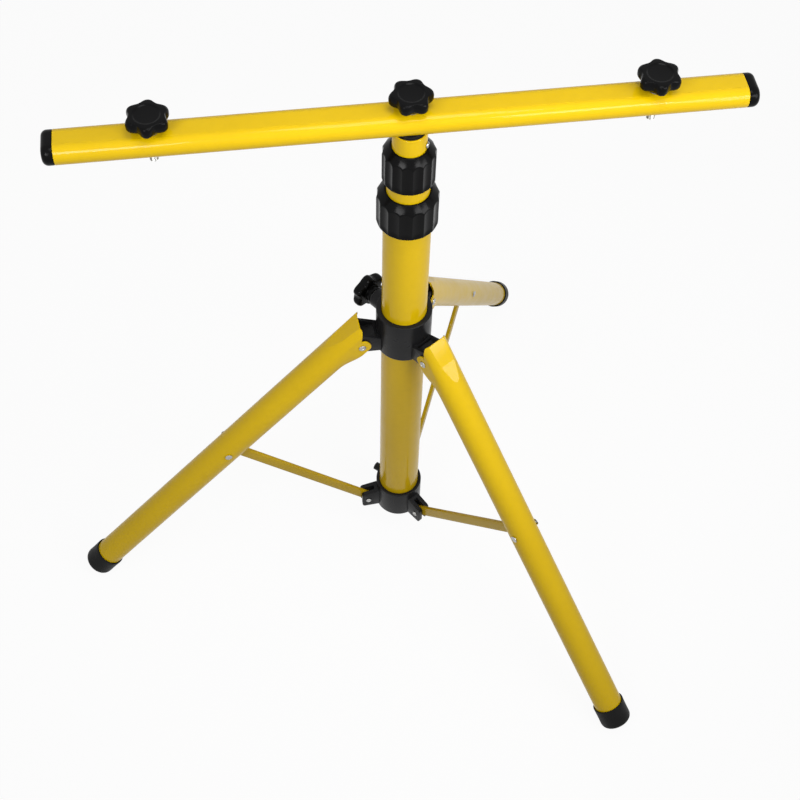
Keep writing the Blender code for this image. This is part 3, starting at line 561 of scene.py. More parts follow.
def twist_collar(name, node, radius, bottom, top, thread_r, tube_top, sliding_r):
    """Outside: the smaller of cone and flute. Inside: a plain bore in two steps."""
    neck = sliding_r + 0.0005
    step = tube_top + 0.0090 + GAP
    skirt_top = top - 0.22 * (top - bottom)
    neck_out = neck + 0.14 * (radius - neck)
    foot_r = radius - 0.0016
    rise = np.linspace(0, 1, 21)
    cone_r = radius - (radius - neck_out) * rise ** 1.25
    cone_z = skirt_top + (top - skirt_top) * rise
    foot = rounded([(foot_r, bottom), (radius, bottom), (radius, skirt_top)], 0.0014, 6)
    skirt_z = np.linspace(bottom + 0.0030, skirt_top, 14)[:-1]
    skirt = np.stack([np.full(len(skirt_z), radius), skirt_z], -1)
    line = np.vstack([foot[:-1], skirt, np.stack([cone_r, cone_z], -1)])
    angle = np.linspace(0, tau, FLUTES * 20, endpoint=False)
    dish = FLUTE_DEPTH * np.abs(np.sin(FLUTES * angle / 2)) ** 0.8
    fade = 0.3 + 0.7 * smooth_step((line[:, 1:] - bottom) / 0.0050)
    outside = soft_minimum(line[:, :1] + 0 * angle, radius - dish * fade, 0.0005)
    bore = rounded([(neck_out, top), (neck, top), (neck, step), (thread_r, step), (thread_r, bottom),
                    (foot_r, bottom)], 0.0004, 3)[1:-1]
    radii = np.vstack([outside, bore[:, :1] + 0 * angle])
    grid = turned_grid(radii, np.concatenate([line[:, 1], bore[:, 1]]), angle)
    return placed(skin(name, grid, MAST, ring=True), node, KNOB_PLASTIC, 50)


twist_collar("lower_twist_collar", "lower_collar", 0.0308, 0.5753, 0.6160, 0.0264, OUTER_TOP, MIDDLE_R)
twist_collar("upper_twist_collar", "upper_collar", 0.0258, 0.6323, 0.6728, 0.0235, MIDDLE_TOP, INNER_R)

# %% [markdown]
# The black plug closes the inner tube under the crossbar. A small pan-head screw with a cross recess
# holds it, and shows as a bright dot beside the mast's neck.

# %% Plug of the inner tube and its screw
plug_r, plug_neck_r = INNER_R - WALL - GAP, 0.0139
plug_low, plug_step, plug_high = INNER_TOP - 0.0380, INNER_TOP - GAP, BAR_Z - BAR_HEIGHT / 2 - GAP
section = rounded([
    (STUD_BORE, plug_low), (plug_r, plug_low), (plug_r, plug_step), (plug_neck_r, plug_step),
    (plug_neck_r, plug_high), (STUD_BORE, plug_high)], 0.0003, 3, True)
pocket = rod("nut_pocket", NUT_POCKET, plug_low - PAST, 0.6830, MAST, 6)
drilled = rod("screw_hole", SCREW_HOLE, 0.0092, INNER_R, SIDE_SCREW)
plug = combined(lathe("mast_top_plug", section, MAST), [pocket, drilled], "DIFFERENCE")
placed(plug, "top_plug", HUB_PLASTIC)


def pan_head_screw(name, node, place, shank_r, head_r, tip, seat):
    """A turned screw with a domed head, and a cross cut into the head."""
    head = [(head_r, seat), (head_r, seat + 0.0007), (head_r * 0.80, seat + 0.0016), (0, seat + 0.0020)]
    line = [(0, tip), (shank_r * 0.6, tip), (shank_r, tip + 0.0008), (shank_r, seat)] + head
    screw = lathe(name, rounded(line, [0, 0.0002, 0.0002, 0.0001, 0.0001, 0.0004, 0.0006, 0], 4), place, 48)
    low, high = (-head_r * 0.62, -0.0004, seat + 0.0009), (head_r * 0.62, 0.0004, seat + PAST)
    arms = [box("arm", low, high, place @ turned_about("Z", turn)) for turn in (30, 120)]
    return placed(combined(screw, arms, "DIFFERENCE"), node, ZINC)


pan_head_screw("plug_side_screw", "plug_screw", SIDE_SCREW, 0.0016, 0.0033, 0.0095, INNER_R + GAP)

# %% [markdown]
# ## Crossbar
#
# The crossbar is a flat-oval tube: two half circles joined by flats, carried along X. It has a hole
# for each stud. Its ends are closed by black caps whose faces are rounded like a cushion.


# %% Crossbar and its end caps
def flat_oval(inset, points=40):
    """Half circles of radius r, centres apart along Y: y = centre + r cos a, z = r sin a."""
    radius, middle = BAR_HEIGHT / 2 - inset, (BAR_WIDTH - BAR_HEIGHT) / 2
    return np.vstack([arc((middle, 0), radius, -90, 90, points), arc((-middle, 0), radius, 90, 270, points)])


def swept_along_x(rows):
    """Rows of flat ovals, each given as (x, inset)."""
    return np.stack([np.insert(flat_oval(inset), 0, x, axis=1) for x, inset in rows])


BAR = MAST @ shift(0, 0, BAR_Z)
BAR_MIDDLE = BAR @ shift(BAR_SHIFT, 0, 0)
LAMP_SEATS = {"left": BAR_MIDDLE @ shift(-LAMP_X, 0, 0), "right": BAR_MIDDLE @ shift(LAMP_X, 0, 0)}
RIVET_NUT_R = 0.0053
SEAT_HALF, SEAT_DROP = 0.0105, 0.0002
bar_end = BAR_LENGTH / 2
wall_rows = rounded([(-bar_end, 0), (bar_end, 0), (bar_end, WALL), (-bar_end, WALL)], TUBE_LIP, 3, True)
bar = skin("crossbar_tube", swept_along_x(wall_rows), BAR_MIDDLE, ring=True)
holes = [rod("centre_hole", STUD_HOLE, -ACROSS, ACROSS, BAR)]
for seat in LAMP_SEATS.values():
    holes.append(rod("upper_hole", STUD_HOLE, 0, ACROSS, seat))
    holes.append(rod("lower_hole", RIVET_NUT_R + GAP, -ACROSS, 0, seat))
    relief = (-SEAT_HALF, -BAR_WIDTH, BAR_HEIGHT / 2 - SEAT_DROP), (SEAT_HALF, BAR_WIDTH, BAR_HEIGHT)
    holes.append(box("relief", *relief, seat))
placed(combined(bar, holes, "DIFFERENCE"), "cross_bar", YELLOW_PAINT)

CAP_PLUG, CAP_OUT, CAP_CROWN, CAP_DRAWN_IN = 0.0160, 0.0105, 0.0055, 0.0050


def end_cap(name, node, turn):
    """A cap's side and face: the oval drawn in along a quarter of an ellipse."""
    swing = np.radians(np.linspace(0, 90, 13))
    face_x = bar_end + CAP_OUT - CAP_CROWN + CAP_CROWN * np.sin(swing)
    face_in = CAP_DRAWN_IN * (1 - np.cos(swing))
    first, in_tube = bar_end - CAP_PLUG, WALL + GAP
    rows = [(first, in_tube), (first + 0.0003, in_tube), (bar_end + GAP, in_tube),
            (bar_end + GAP, 0.0006), (bar_end + 0.0005, 0.0002), (bar_end + 0.0010, 0.0)]
    grid = swept_along_x(rows + list(zip(face_x, face_in)))
    last = grid[-1]
    middle = np.array([last[:, 0].max(), 0, 0])
    towards_middle = np.linspace(1, 0, 8)[1:-1, None, None]
    grid = np.concatenate([grid, middle + (last - middle) * towards_middle])
    place = BAR_MIDDLE @ turned_about("Z", turn)
    return placed(skin(name, grid, place, start=(first, 0, 0), end=middle), node, KNOB_PLASTIC)


end_cap("left_end_cap", "bar_cap_left", 180)
end_cap("right_end_cap", "bar_cap_right", 0)

# %% [markdown]
# ## Star knobs, studs and washers
#
# A star knob is moulded round the head of its stud. Its outline is a circle with six smooth dips. Every
# row of the surface says how far out the lobes reach, how deep the dips between them are, and how high
# it is: the lobes slope down and out from a round crest, and inside the crest is a shallow dish.


# %% Star knobs
LOBES = 6
KNOB_R, KNOB_DIP = 0.0205, 0.0042
WASHER_T = 0.0012
SEAT = WASHER_T + 2 * GAP


def star_knob(name, node, place):
    """Radius = reach less dip times (half of 1 - cos 6a) to the power 1.1."""
    socket, under = SEAT + 0.0087, SEAT + 0.0062
    top = under + 0.0112
    reach, dip = KNOB_R, KNOB_DIP
    line = rounded([
        (STUD_BORE, 0, socket), (STUD_BORE, 0, SEAT), (0.0095, 0, SEAT), (0.0095, 0, under),
        (0.0130, 0, under), (reach * 0.92, dip, under), (reach * 0.99, dip, under + 0.0022),
        (reach, dip, top - 0.0048), (reach * 0.985, dip, top - 0.0030),
        (reach * 0.94, dip * 0.85, top - 0.0012), (reach * 0.86, dip * 0.5, top - 0.0002),
        (0.0124, 0, top), (0.0110, 0, top - 0.0010), (0.0030, 0, top - 0.0012)],
        [0, 0.0005, 0.0005, 0.0008, 0.002, 0.0009, 0.0012, 0.0009, 0.0009, 0.0009, 0.0009, 0.0008,
         0.0006, 0], 6)
    angle = np.linspace(0, tau, LOBES * 32, endpoint=False)
    radii = line[:, :1] - line[:, 1:2] * (0.5 - 0.5 * np.cos(LOBES * angle)) ** 1.1
    grid = turned_grid(radii, line[:, 2], angle)
    piece = skin(name, grid, place, start=(0, 0, socket), end=(0, 0, top - 0.0012))
    return placed(piece, node, KNOB_PLASTIC, 50)


LAMP_STUD_TIP = -BAR_HEIGHT - 0.0140
KNOBS = {
    "left": (knob_frame(BAR_SHIFT - LAMP_X, 25.0), LAMP_STUD_TIP),
    "centre": (knob_frame(0.0, 3.0), -0.0490),
    "right": (knob_frame(BAR_SHIFT + LAMP_X, 26.0), LAMP_STUD_TIP),
    "hub": (HUB_KNOB, OUTER_R + GAP - BOSS_END),
}
for side, (place, tip) in KNOBS.items():
    star_knob(side + "_star_knob", "knob_" + side, place)

# %% [markdown]
# The studs have a real thread, because their tips show under the crossbar. On a thread the radius
# depends on height and angle together: it rises and falls once for every pitch of height, and the
# whole pattern climbs one pitch for every turn. The washers are zinc plated, apart from the locking
# knob's, which is nylon because it turns against moulded plastic. A rivet nut in the crossbar's lower
# wall takes the stud of each lamp knob.


# %% Threaded studs and washers
PITCH = 0.00125
STUD_R, THREAD_DEPTH = 0.0040, 0.0006
IN_KNOB, THREAD_RUNOUT, CHAMFER = 0.0090, 0.0015, 0.0010


def threaded_stud(name, node, place, tip):
    """Radius = stud radius less a rounded ridge wave of (height / pitch - angle / full turn)."""
    top = SEAT + IN_KNOB - GAP
    angle = np.linspace(0, tau, 24, endpoint=False)
    height = np.arange(tip, top, PITCH / 6)
    height[-1] = top
    wave = 0.5 - 0.5 * np.cos(tau * (height[:, None] / PITCH - angle[None, :] / tau))
    fade = np.clip((top - IN_KNOB - height) / THREAD_RUNOUT, 0, 1)[:, None]
    chamfer = np.clip((height - tip) / CHAMFER, 0, 1)[:, None]
    radii = (STUD_R - THREAD_DEPTH * wave * fade) * (0.74 + 0.26 * chamfer)
    grid = turned_grid(radii, height, angle)
    return placed(skin(name, grid, place, start=(0, 0, tip), end=(0, 0, top)), node, ZINC, 60)


washer_section = ring_section(STUD_BORE, 0.0088, GAP, GAP + WASHER_T, 0.0003, 3)
for side, (place, tip) in KNOBS.items():
    threaded_stud(side + "_threaded_stud", "stud_" + side, place, tip)
    washer = lathe(side + "_flat_washer", washer_section, place, 64)
    placed(washer, "washer_" + side, NYLON if side == "hub" else ZINC)

flange_high = -BAR_HEIGHT / 2 - GAP
flange_low, nut_top = flange_high - 0.0012, flange_high + 0.0120
section = rounded([
    (STUD_BORE, flange_low), (0.0072, flange_low), (0.0072, flange_high), (RIVET_NUT_R, flange_high),
    (RIVET_NUT_R, nut_top), (STUD_BORE, nut_top)], 0.0002, 3, True)
for side, seat in LAMP_SEATS.items():
    placed(lathe(side + "_rivet_nut", section, seat, 64), "rivet_nut_" + side, ZINC)

# %% [markdown]
# ## Hubs
#
# Both hubs are moulded in one piece: a sleeve round the mast with arms for the legs or the struts. The
# sleeve is turned, the arms are plates joined to it, and then the pockets and holes are cut. A narrow
# bevel at the end gives every edge the small radius that a mould leaves, which is what catches light.


# %% Making a moulded hub
MOULD_EDGE, SHARP_FROM = 0.0005, 38.0


def softened(piece):
    """A narrow rounded bevel on every sharp edge."""
    bevel = piece.modifiers.new("edge", "BEVEL")
    bevel.width = MOULD_EDGE
    bevel.segments = 3
    bevel.limit_method = "ANGLE"
    bevel.angle_limit = radians(SHARP_FROM)
    return made_final(piece)


def opened_for_pins(low, high, hole, pivot):
    """For each leg, a box to cut on its spoke and the hole of a pin across it."""
    cuts = []
    for azimuth in LEGS.values():
        cuts.append(box("opening", low, high, spoke(azimuth)))
        cuts.append(rod("pin_hole", hole, -ACROSS, ACROSS, pin_axis(spoke(azimuth), *pivot)))
    return cuts


def moulded_hub(name, node, sleeve, grown, cuts):
    """A turned sleeve (bore, radius, low, high) with all that grows on it, cut out and softened."""
    hub = lathe(name, ring_section(*sleeve, [0.0004, 0.0012, 0.0012, 0.0008], 5), MAST, 128)
    combined(hub, grown, "UNION")
    combined(hub, cuts, "DIFFERENCE")
    return placed(softened(hub), node, HUB_PLASTIC)


# %% Sliding hub
HUB_R = 0.0300
LUG_FOOT_R, LUG_R, LUG_HALF, POCKET_HALF = 0.0272, 0.0108, 0.0132, 0.0098
pivot_r, pivot_z = LEG_PIVOT
lug_low = pivot_z - 0.0128
pocket_low = lug_low + 0.0180
lug_outline = np.vstack([
    [(LUG_FOOT_R, lug_low)], arc(LEG_PIVOT, LUG_R, -70, 55, 16),
    [(pivot_r - 0.0010, pivot_z + 0.0158), (LUG_FOOT_R, pivot_z + 0.0070)]])
grown = [plate("lug", lug_outline, LUG_HALF, spoke(azimuth)) for azimuth in LEGS.values()]
grown.append(rod("boss", 0.0108, 0.0270, BOSS_END, BOSS, 48))
low, high = (0.0325, -POCKET_HALF, pocket_low), (pivot_r * 1.5, POCKET_HALF, pivot_z + ACROSS)
cuts = opened_for_pins(low, high, PIN_HOLE, LEG_PIVOT)
cuts.append(rod("nut_pocket", NUT_POCKET, OUTER_R / 2, 0.0373, BOSS, 6))
cuts.append(rod("stud_hole", STUD_HOLE, HUB_R, BOSS_END + PAST, BOSS))
moulded_hub("sliding_hub", "upper_hub", (OUTER_R + 0.0005, HUB_R, 0.3788, 0.4346), grown, cuts)

# %% [markdown]
# The fixed hub has three pairs of ears that hold the struts, and at its back a small boss for the set
# screw that fixes it to the mast.

# %% Fixed hub
EAR_FOOT_R, EAR_OUT, EAR_CORNER, EAR_HALF, EAR_SLOT_HALF = 0.0260, 0.0442, 0.0040, 0.0080, 0.0029
HUB_SCREW = outwards(138.0, 0.0832)
ear_outline = np.vstack([
    [(EAR_FOOT_R, 0.0446)], arc((EAR_OUT, 0.0486), EAR_CORNER, -90, 0, 8),
    arc((EAR_OUT, 0.0672), EAR_CORNER, 0, 90, 8), [(EAR_FOOT_R, 0.0752)]])
grown = [plate("ears", ear_outline, EAR_HALF, spoke(azimuth)) for azimuth in LEGS.values()]
grown.append(rod("screw_boss", 0.0050, EAR_FOOT_R, 0.0355, HUB_SCREW, 40))
low, high = (0.0318, -EAR_SLOT_HALF, 0.0426), (0.0502, EAR_SLOT_HALF, 0.0792)
cuts = opened_for_pins(low, high, RIVET_HOLE, STRUT_PIVOT)
cuts.append(rod("screw_hole", RIVET_HOLE, OUTER_R - PAST, 0.0355 + PAST, HUB_SCREW))
moulded_hub("fixed_hub", "lower_hub", (OUTER_R + GAP, 0.0282, 0.0427, 0.0884), grown, cuts)

set_low, set_high, set_r = OUTER_R + 2 * GAP, 0.0340, 0.0020
line = rounded([(0, set_low), (set_r, set_low), (set_r, set_high), (0, set_high)], 0.0004, 4)
set_screw = lathe("fixed_hub_set_screw", line, HUB_SCREW, 48)
hexagon = rod("hexagon", 0.0011, 0.0322, set_high + PAST, HUB_SCREW, 6)
placed(combined(set_screw, [hexagon], "DIFFERENCE"), "lower_hub_screw", ZINC)

# %% [markdown]
# ## Legs
#
# A leg is a round tube. Its top end is pressed square and cut into a fork: two rounded ears take the
# rivet, and a flattened web between them leans over the hub and stops the leg. Down the mast side runs
# a slot in which the strut's end travels as the leg folds.
#
# All of it is one surface. Each row is a section that blends from a square U to a circle, the web side
# is held back to a limit that changes down the leg, every column starts where the fork's side view says,
# and the two edges of the sheet stand apart wherever there is a slot.

# %% Section of a leg
FORK_SIDE, FORK_DEPTH = 0.0160, 0.0166
CREASE_AT, FACET_END = 0.0077, 0.0302
BLEND_START, BLEND_END = 0.0080, 0.0450
CORNER = 0.0014
CORNER_TURN = 146.0
FORK_OPEN, FORK_ROUND, FORK_CLOSED = 0.0139, 0.0200, 0.0260
SLOT_START, SLOT_END, SLOT_HALF = STRUT_ON_LEG - 0.0320, STRUT_ON_LEG + 0.1050, 0.0029


def web_limit(down):
    """How far out the web may stand: a flat from the end to the crease, a second one to the round tube."""
    return np.interp(down, [-LEG_TOP, CREASE_AT, FACET_END], [0.0129, 0.0142, LEG_R])


def web_kink(down, inset):
    """The angle where the web's flat meets the round side: its cosine is the limit over the radius.

    Below the facets there is no flat, and the angle opens to half of a quarter turn.
    """
    flat = np.arccos(np.clip((web_limit(down) - inset) / (LEG_R - inset), 0, 0.9997))
    return np.maximum(flat, np.interp(down, [FACET_END, BLEND_END], [0, np.radians(45)]))


def slot_half(down):
    """Half the gap on the mast side: the fork's opening, then the strut's slot with round ends."""
    closing = np.clip((down - FORK_ROUND) / (FORK_CLOSED - FORK_ROUND), 0, 1)
    fork = FORK_OPEN * np.sqrt(1 - closing ** 2)
    inside = np.clip(np.minimum(down - SLOT_START, SLOT_END - down) / SLOT_HALF, 0, 1)
    slot = SLOT_HALF * np.sqrt(np.clip(1 - (1 - inside) ** 2, 0, 1))
    return np.where(down < FORK_CLOSED, fork, slot)


def half_section(down, inset, share):
    """Half of the leg's section, out from the axis and across, for shares 0 to 3 round it.

    From 0 to 1 runs the web side, from 1 to 2 the side wall and its corner, from 2 to 3 the floor. The
    share 0.5 always lies on the edge of the web's flat, so that this edge is drawn as a clean line.
    """
    square = smooth_step((BLEND_END - down) / (BLEND_END - BLEND_START))
    radius, side, depth = LEG_R - inset, FORK_SIDE - inset, FORK_DEPTH - inset
    corner = CORNER - inset * 0.6
    wall, floor = np.clip(share - 1, 0, 1), np.clip(share - 2, 0, 1)
    parts = [share > 2, share > 1]
    quarter, corner_turn = np.pi / 2, radians(CORNER_TURN)
    kink = web_kink(down, inset)
    front = kink * np.clip(2 * share, 0, 1) + (quarter - kink) * np.clip(2 * share - 1, 0, 1)
    start = radius * sin(corner_turn) * (1 - square) + (side - corner) * square
    gap = np.minimum(slot_half(down), start - GAP)
    last = np.pi - np.arcsin(np.clip(gap / radius, 0, 1))
    turn = np.select(parts, [corner_turn + (last - corner_turn) * floor,
                             quarter + (corner_turn - quarter) * wall], front)
    out_round, across_round = radius * np.cos(turn), radius * np.sin(turn)
    line = np.vstack([[(0.0, side)], arc((-(depth - corner), side - corner), corner, 90, 180, 6)])
    length = np.concatenate([[0], np.cumsum(np.linalg.norm(np.diff(line, axis=0), axis=1))])
    wall_out, wall_across = [np.interp(wall * length[-1], length, line[:, k]) for k in (0, 1)]
    out_square = np.select(parts, [-depth, wall_out], out_round)
    across_square = np.select(parts, [(side - corner) * (1 - floor) + gap * floor, wall_across],
                              np.minimum(across_round, side))
    out = out_round + (out_square - out_round) * square
    across = across_round + (across_square - across_round) * square
    return np.minimum(out, web_limit(down) - inset), across


at_rivet = half_section(np.array(0.0), 0.0, np.array([0.0, 1.0, 2.0]))
print("half section at the rivet:", [np.round(v, 4) for v in at_rivet])

# %% [markdown]
# The side view of the fork's end is one line: the web's edge, a relief down to the ear, and the ear's
# round lobe about the rivet. A column of the sheet looks up how high it starts from how far out it is.

# %% The leg's sheet
RELIEF = np.array([(0.0172, LEG_TOP), (0.0136, 0.0155), (0.0108, 0.0120), (0.0092, 0.0094)])
LOBE = arc((0, 0), 0.0096, 42, 180, 40)
END_LINE = np.vstack([[(0.040, LEG_TOP)], RELIEF, LOBE])[::-1]
SHARES = np.concatenate([np.linspace(0, 1, 25), np.linspace(1, 2, 27)[1:], np.linspace(2, 3, 8)[1:]])
FOOT_FLOOR = 0.0030


def leg_rows():
    """Distances down to the foot cap's floor: close together in the fork and at the slot's ends."""
    fork = np.concatenate([np.linspace(-LEG_TOP, CREASE_AT, 26), np.linspace(CREASE_AT, FACET_END, 20)[1:],
                           np.linspace(FACET_END, BLEND_END, 10)[1:]])
    near = np.array([0, 0.0002, 0.0005, 0.0009, 0.0015, 0.0022, SLOT_HALF])
    tube = np.concatenate([
        np.linspace(BLEND_END, SLOT_START, 12)[1:], SLOT_START + near[1:],
        np.linspace(SLOT_START + SLOT_HALF, SLOT_END - SLOT_HALF, 10)[1:-1], SLOT_END - near[::-1],
        np.linspace(SLOT_END, LEG_LENGTH - FOOT_FLOOR - GAP, 12)[1:]])
    return fork, tube


def leg_sheet(inset):
    """One side of the sheet as rows by columns, from one edge of the slot round to the other."""
    fork, tube = leg_rows()
    out_here, _ = half_section(np.zeros_like(SHARES), inset, SHARES)
    start = -np.interp(out_here + LEG_OFFSET, END_LINE[:, 0], END_LINE[:, 1])
    share_down = (fork + LEG_TOP) / (BLEND_END + LEG_TOP)
    fork_down = start + (BLEND_END - start) * share_down[:, None]
    down = np.vstack([fork_down, np.broadcast_to(tube[:, None], (len(tube), len(SHARES)))])
    out, across = half_section(down, inset, SHARES[None, :])
    half = np.stack([out + LEG_OFFSET, across, -down], -1)
    other = half * np.array([1, -1, 1])
    return np.concatenate([half[:, ::-1], other[:, 1:]], axis=1), down


def leg_mesh(name, place):
    """Outer and inner side of the sheet, joined at the top, at the bottom and along the slot."""
    outer, down = leg_sheet(0.0)
    inner, _ = leg_sheet(LEG_WALL)
    rows, cols = outer.shape[:2]
    points = np.vstack([outer.reshape(-1, 3), inner.reshape(-1, 3)])
    shell = grid_faces(rows, cols, open_columns=True)
    other = rows * cols
    faces = [shell, shell[:, ::-1] + other]
    col = np.arange(cols - 1)
    for row in (0, rows - 1):
        first = row * cols + col
        faces.append(np.stack([first, first + 1, first + 1 + other, first + other], 1))
    gap = slot_half(down[:, -1]) > 1e-9
    open_rows = np.where(gap[:-1] | gap[1:])[0]
    for edge in (0, cols - 1):
        first = open_rows * cols + edge
        faces.append(np.stack([first, first + cols, first + cols + other, first + other], 1))
    return mesh_piece(name, carried(points, place), np.vstack(faces).tolist())


def build_leg(name, azimuth):
    """The sheet with its rivet holes drilled."""
    place = leg_frame(azimuth)
    leg = leg_mesh(name + "_leg_tube", place)
    rivet_axis = pin_axis(place, STRUT_RIVET_OUT, -STRUT_ON_LEG)
    holes = [rod("pin_hole", PIN_HOLE, -ACROSS, ACROSS, pin_axis(place, 0, 0)),
             rod("rivet_hole", RIVET_HOLE, -ACROSS, ACROSS, rivet_axis)]
    return placed(combined(leg, holes, "DIFFERENCE"), "leg_" + name, YELLOW_PAINT, 17)


for name, azimuth in LEGS.items():
    build_leg(name, azimuth)

# %% [markdown]
# A foot cap is a rubber cup pushed over the tube's end, with a thin lip. Where it stands it is worn
# flat, so no point of it may be lower than the floor.


# %% Foot caps
def foot_cap(name, azimuth):
    """A turned cup; the heights of its points in the stand's frame are held at or above zero."""
    top, end = -(LEG_LENGTH - 0.0280), -LEG_LENGTH
    outside, inside, floor = 0.0186, LEG_R + GAP, end + FOOT_FLOOR
    line = rounded([
        (0, end), (outside, end), (outside - 0.0002, end + 0.0160), (outside, top - 0.0030), (outside, top),
        (inside, top), (inside, floor), (0, floor)], [0, 0.0058, 0.006, 0.002, 0.0006, 0.0004, 0.0004, 0], 8)
    cap = lathe(name + "_foot_cap", line, leg_frame(azimuth) @ shift(LEG_OFFSET, 0, 0))
    points = np.zeros(len(cap.data.vertices) * 3)
    cap.data.vertices.foreach_get("co", points)
    points[2::3] = np.maximum(points[2::3], 0.0)
    cap.data.vertices.foreach_set("co", points)
    cap.data.update()
    return placed(cap, "foot_" + name, FOOT_RUBBER)


for name, azimuth in LEGS.items():
    foot_cap(name, azimuth)

# %% [markdown]
# ## Struts and rivets
#
# A strut is a flat bar with rounded ends, a little narrower where it swings inside the leg. The
# rivets are semi-tubular: a domed head with a small dimple in its middle, where the tool pressed it.


# %% Struts
def strut(name, azimuth):
    """An outline of two half circles and the sides between them, as a plate with an eye at each end."""
    length, half, tip = strut_span()[0], 0.0065, 0.0055
    neck = length - 0.0140
    place = strut_frame(azimuth)
    outline = np.vstack([arc((length, 0), tip, -90, 90, 20), [(neck, half)],
                         arc((0, 0), half, 90, 270, 20), [(neck, -half)]])
    piece = plate(name + "_strut_bar", outline, 0.0021, place, edge=0.0006)
    eyes = [rod("eye", RIVET_HOLE, -ACROSS, ACROSS, pin_axis(place, x, 0)) for x in (0.0, length)]
    # The strut's darker yellow is painted shade on the same paint as the legs.
    return placed(combined(piece, eyes, "DIFFERENCE"), "strut_" + name, SHADED_STRUT_PAINT)


for name, azimuth in LEGS.items():
    strut(name, azimuth)


# %% Rivets
def rivet_head(head_r, seat, side=1.0, rise=0.0015):
    """From the head's seat out over the dome and down into the dimple; side -1 mirrors it."""
    line = rounded([
        (head_r, seat), (head_r, seat + 0.33 * rise), (head_r * 0.72, seat + 0.93 * rise),
        (head_r * 0.42, seat + rise), (head_r * 0.32, seat + 0.53 * rise), (0, seat + 0.47 * rise)],
        [0, 0.0003, 0.0009, 0.0003, 0.0003, 0], 4)
    return line * np.array([1.0, side])


def cross_rivet(name, node, place, shank_r, head_r, half):
    """A rivet through both walls: a head at each end of a plain shank."""
    lower, upper = rivet_head(head_r, half, -1)[::-1], rivet_head(head_r, half)
    line = np.vstack([lower, [(shank_r, -half), (shank_r, half)], upper])
    return placed(lathe(name, line, place, 40), node, ZINC)


def wall_rivet(name, node, place, shank_r, head_r, length):
    """A short rivet in one wall only."""
    shank = [(0, -length), (shank_r, -length), (shank_r, 0)]
    line = np.vstack([shank, rivet_head(head_r, 0, rise=0.0010)])
    return placed(lathe(name, line, place, 40), node, ZINC)


leg_wall = float(np.sqrt(LEG_R ** 2 - (STRUT_RIVET_OUT - LEG_OFFSET) ** 2)) + 3 * GAP
for name, azimuth in LEGS.items():
    pivot = pin_axis(spoke(azimuth), *LEG_PIVOT)
    cross_rivet(name + "_leg_rivet", "leg_pin_" + name, pivot, 0.0024, 0.0040, FORK_SIDE + GAP)
    pivot = pin_axis(spoke(azimuth), *STRUT_PIVOT)
    cross_rivet(name + "_strut_rivet", "strut_pin_" + name, pivot, 0.0020, 0.0034, EAR_HALF + GAP)
    for side, turn in (("a", 90), ("b", -90)):
        seat = pin_axis(leg_frame(azimuth), STRUT_RIVET_OUT, -STRUT_ON_LEG, turn) @ shift(0, 0, leg_wall)
        piece, node = f"{name}_wall_rivet_{side}", f"leg_rivet_{name}_{side}"
        wall_rivet(piece, node, seat, 0.0020, 0.0040, leg_wall - 0.0106)

# %% [markdown]
# ## Pieces that stay as they were packed
#
# Collets, bushes, nuts and the bottom plug are hidden inside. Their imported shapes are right, so they
# stay, and only get their finishes.

# %% Finishes of the hidden pieces
HIDDEN = {
    "outer_collet": NYLON, "middle_collet": NYLON, "middle_bush": NYLON, "inner_bush": NYLON,
    "base_plug": HUB_PLASTIC, "plug_nut": ZINC, "hub_nut": ZINC,
}
for node, material in HIDDEN.items():
    mesh = frame["nodes"][node].data
    mesh.materials.clear()
    mesh.materials.append(material)
    print(node, "keeps its shape and gets", material.name)

# %% [markdown]
# ## Studio
#
# The stand is photographed on white, from above. The floor is a pale matt sheet. Most of the white
# that the camera and the reflections see on it is a glow that lights nothing, so that it looks white
# without more light falling on the stand, and the rest is matt paint that keeps the soft shadow.


# %% Floor
def straight_rays(tree):
    """1 for rays from the camera and for rays mirrored or let through by a surface, 0 for all others."""
    path = tree.nodes.new("ShaderNodeLightPath")
    total = path.outputs["Is Camera Ray"]
    for kind in ("Is Glossy Ray", "Is Transmission Ray"):
        either = tree.nodes.new("ShaderNodeMath")
        either.operation = "MAXIMUM"
        tree.links.new(total, either.inputs[0])
        tree.links.new(path.outputs[kind], either.inputs[1])
        total = either.outputs[0]
    return total


FLOOR_HALF, FLOOR_Z = 6.0, -0.0004
FLOOR_LIT, FLOOR_SEEN = 0.45, 0.95
GLOW_SHARE = 0.94


def pale_floor():
    """A square sheet that glows where it is seen, and whose paint is darker for light that bounces."""
    corners = np.array([(-1, -1), (1, -1), (1, 1), (-1, 1)]) * FLOOR_HALF
    floor = mesh_piece("studio_floor", np.column_stack([corners, np.full(4, FLOOR_Z)]), [[0, 1, 2, 3]])
    material = bpy.data.materials.new("studio_floor_white")
    material.use_nodes = True
    tree = material.node_tree
    seen = straight_rays(tree)
    paint = wired(tree, tree.nodes["Principled BSDF"], Roughness=1.0, Specular_IOR_Level=0.0,
                  Base_Color=stretched(tree, seen, FLOOR_LIT, FLOOR_SEEN))
    glow = wired(tree, tree.nodes.new("ShaderNodeEmission"), Strength=1.0)
    mix = wired(tree, tree.nodes.new("ShaderNodeMixShader"), Fac=stretched(tree, seen, 0.0, GLOW_SHARE))
    tree.links.new(paint.outputs["BSDF"], mix.inputs[1])
    tree.links.new(glow.outputs["Emission"], mix.inputs[2])
    wired(tree, tree.nodes["Material Output"], Surface=mix.outputs["Shader"])
    floor.data.materials.append(material)
    return floor


print("floor:", pale_floor().name)

# %% [markdown]
# Four rectangular soft boxes light the stand: at the right, in front, at the left and above. They
# stand where the mirrored highlights in the photograph point back to, and all face the mast's top.
# Their spread is narrowed, so that the lower half of the stand gets less light, as it does in the
# photograph. The world adds a little even light, and is white where it is seen or mirrored.


# %% Lights
LIGHT_SPREAD = 100.0


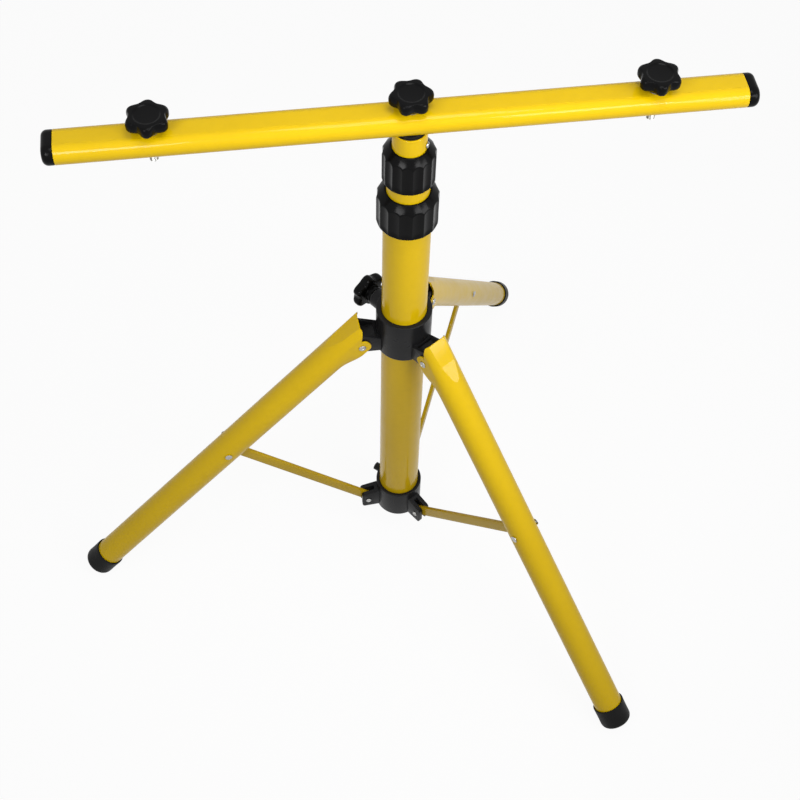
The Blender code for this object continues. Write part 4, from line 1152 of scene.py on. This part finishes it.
def soft_light(name, place, width, height, watts, aim=(MAST_X, MAST_Y, 0.64)):
    """A rectangular soft box at a place, facing its aim: its axes are right, up and back."""
    lamp = bpy.data.lights.new(name, "AREA")
    lamp.shape = "RECTANGLE"
    lamp.size, lamp.size_y = width, height
    lamp.spread = radians(LIGHT_SPREAD)
    lamp.energy = watts
    back = np.subtract(place, aim)
    back /= np.linalg.norm(back)
    right = np.cross((0, 0, 1), back)
    right /= np.linalg.norm(right)
    matrix = np.eye(4)
    matrix[:3] = np.column_stack([right, np.cross(back, right), back, place])
    in_scene(name, lamp).matrix_world = Matrix(matrix)
    print(f"{name}: {width} by {height} m, {watts} W")


soft_light("right_box", (0.86, -0.61, 1.03), 0.46, 0.42, 1.6)
soft_light("front_box", (0.56, -0.88, 1.31), 0.40, 0.30, 1.15)
soft_light("left_box", (-0.57, -0.80, 1.29), 0.50, 0.32, 1.95)
soft_light("top_box", (0.15, -0.25, 1.80), 0.55, 0.55, 1.5)

WORLD_LIGHT = 0.22
world = bpy.data.worlds.new("studio_white")
bpy.context.scene.world = world
world.use_nodes = True
tree = world.node_tree
level = stretched(tree, straight_rays(tree), WORLD_LIGHT, 1.0)
wired(tree, tree.nodes["Background"], Color=(1.0, 1.0, 1.0, 1.0), Strength=level)

# %% [markdown]
# ## Camera
#
# The photograph looks down at the stand by about 55 degrees. Its place and lens were worked out from
# about a hundred points of the picture, so the render and the photograph can be laid over each other.


# %% Camera
SIDEWAYS, TURN, PITCH_DOWN, ROLL = -9.31, -0.09, 55.54, 1.82
CAMERA_BACK, CAMERA_UP = 0.8915, 1.5598
SENSOR, FOCAL_PIXELS, PICTURE_PIXELS = 36.0, 1353.82, 800


def photograph_camera():
    """From the mast sideways, back and up; then turned, tipped down and rolled."""
    camera = bpy.data.cameras.new("photograph_camera")
    camera.sensor_width = SENSOR
    camera.lens = SENSOR * FOCAL_PIXELS / PICTURE_PIXELS
    camera.clip_start, camera.clip_end = 0.05, 50.0
    place = MAST @ turned_about("Z", SIDEWAYS) @ shift(0, -CAMERA_BACK, CAMERA_UP)
    view = turned_about("Z", -TURN) @ turned_about("X", 90 - PITCH_DOWN) @ turned_about("Z", ROLL)
    viewer = in_scene("photograph_camera", camera)
    viewer.matrix_world = Matrix(place @ view)
    bpy.context.scene.camera = viewer
    return camera


print("lens:", round(photograph_camera().lens, 2), "mm")
bpy.context.scene.view_settings.view_transform = "Standard"

# %% [markdown]
# ## Last step
#
# The scene is brought up to date.

# %% Bring the scene up to date
bpy.context.view_layer.update()
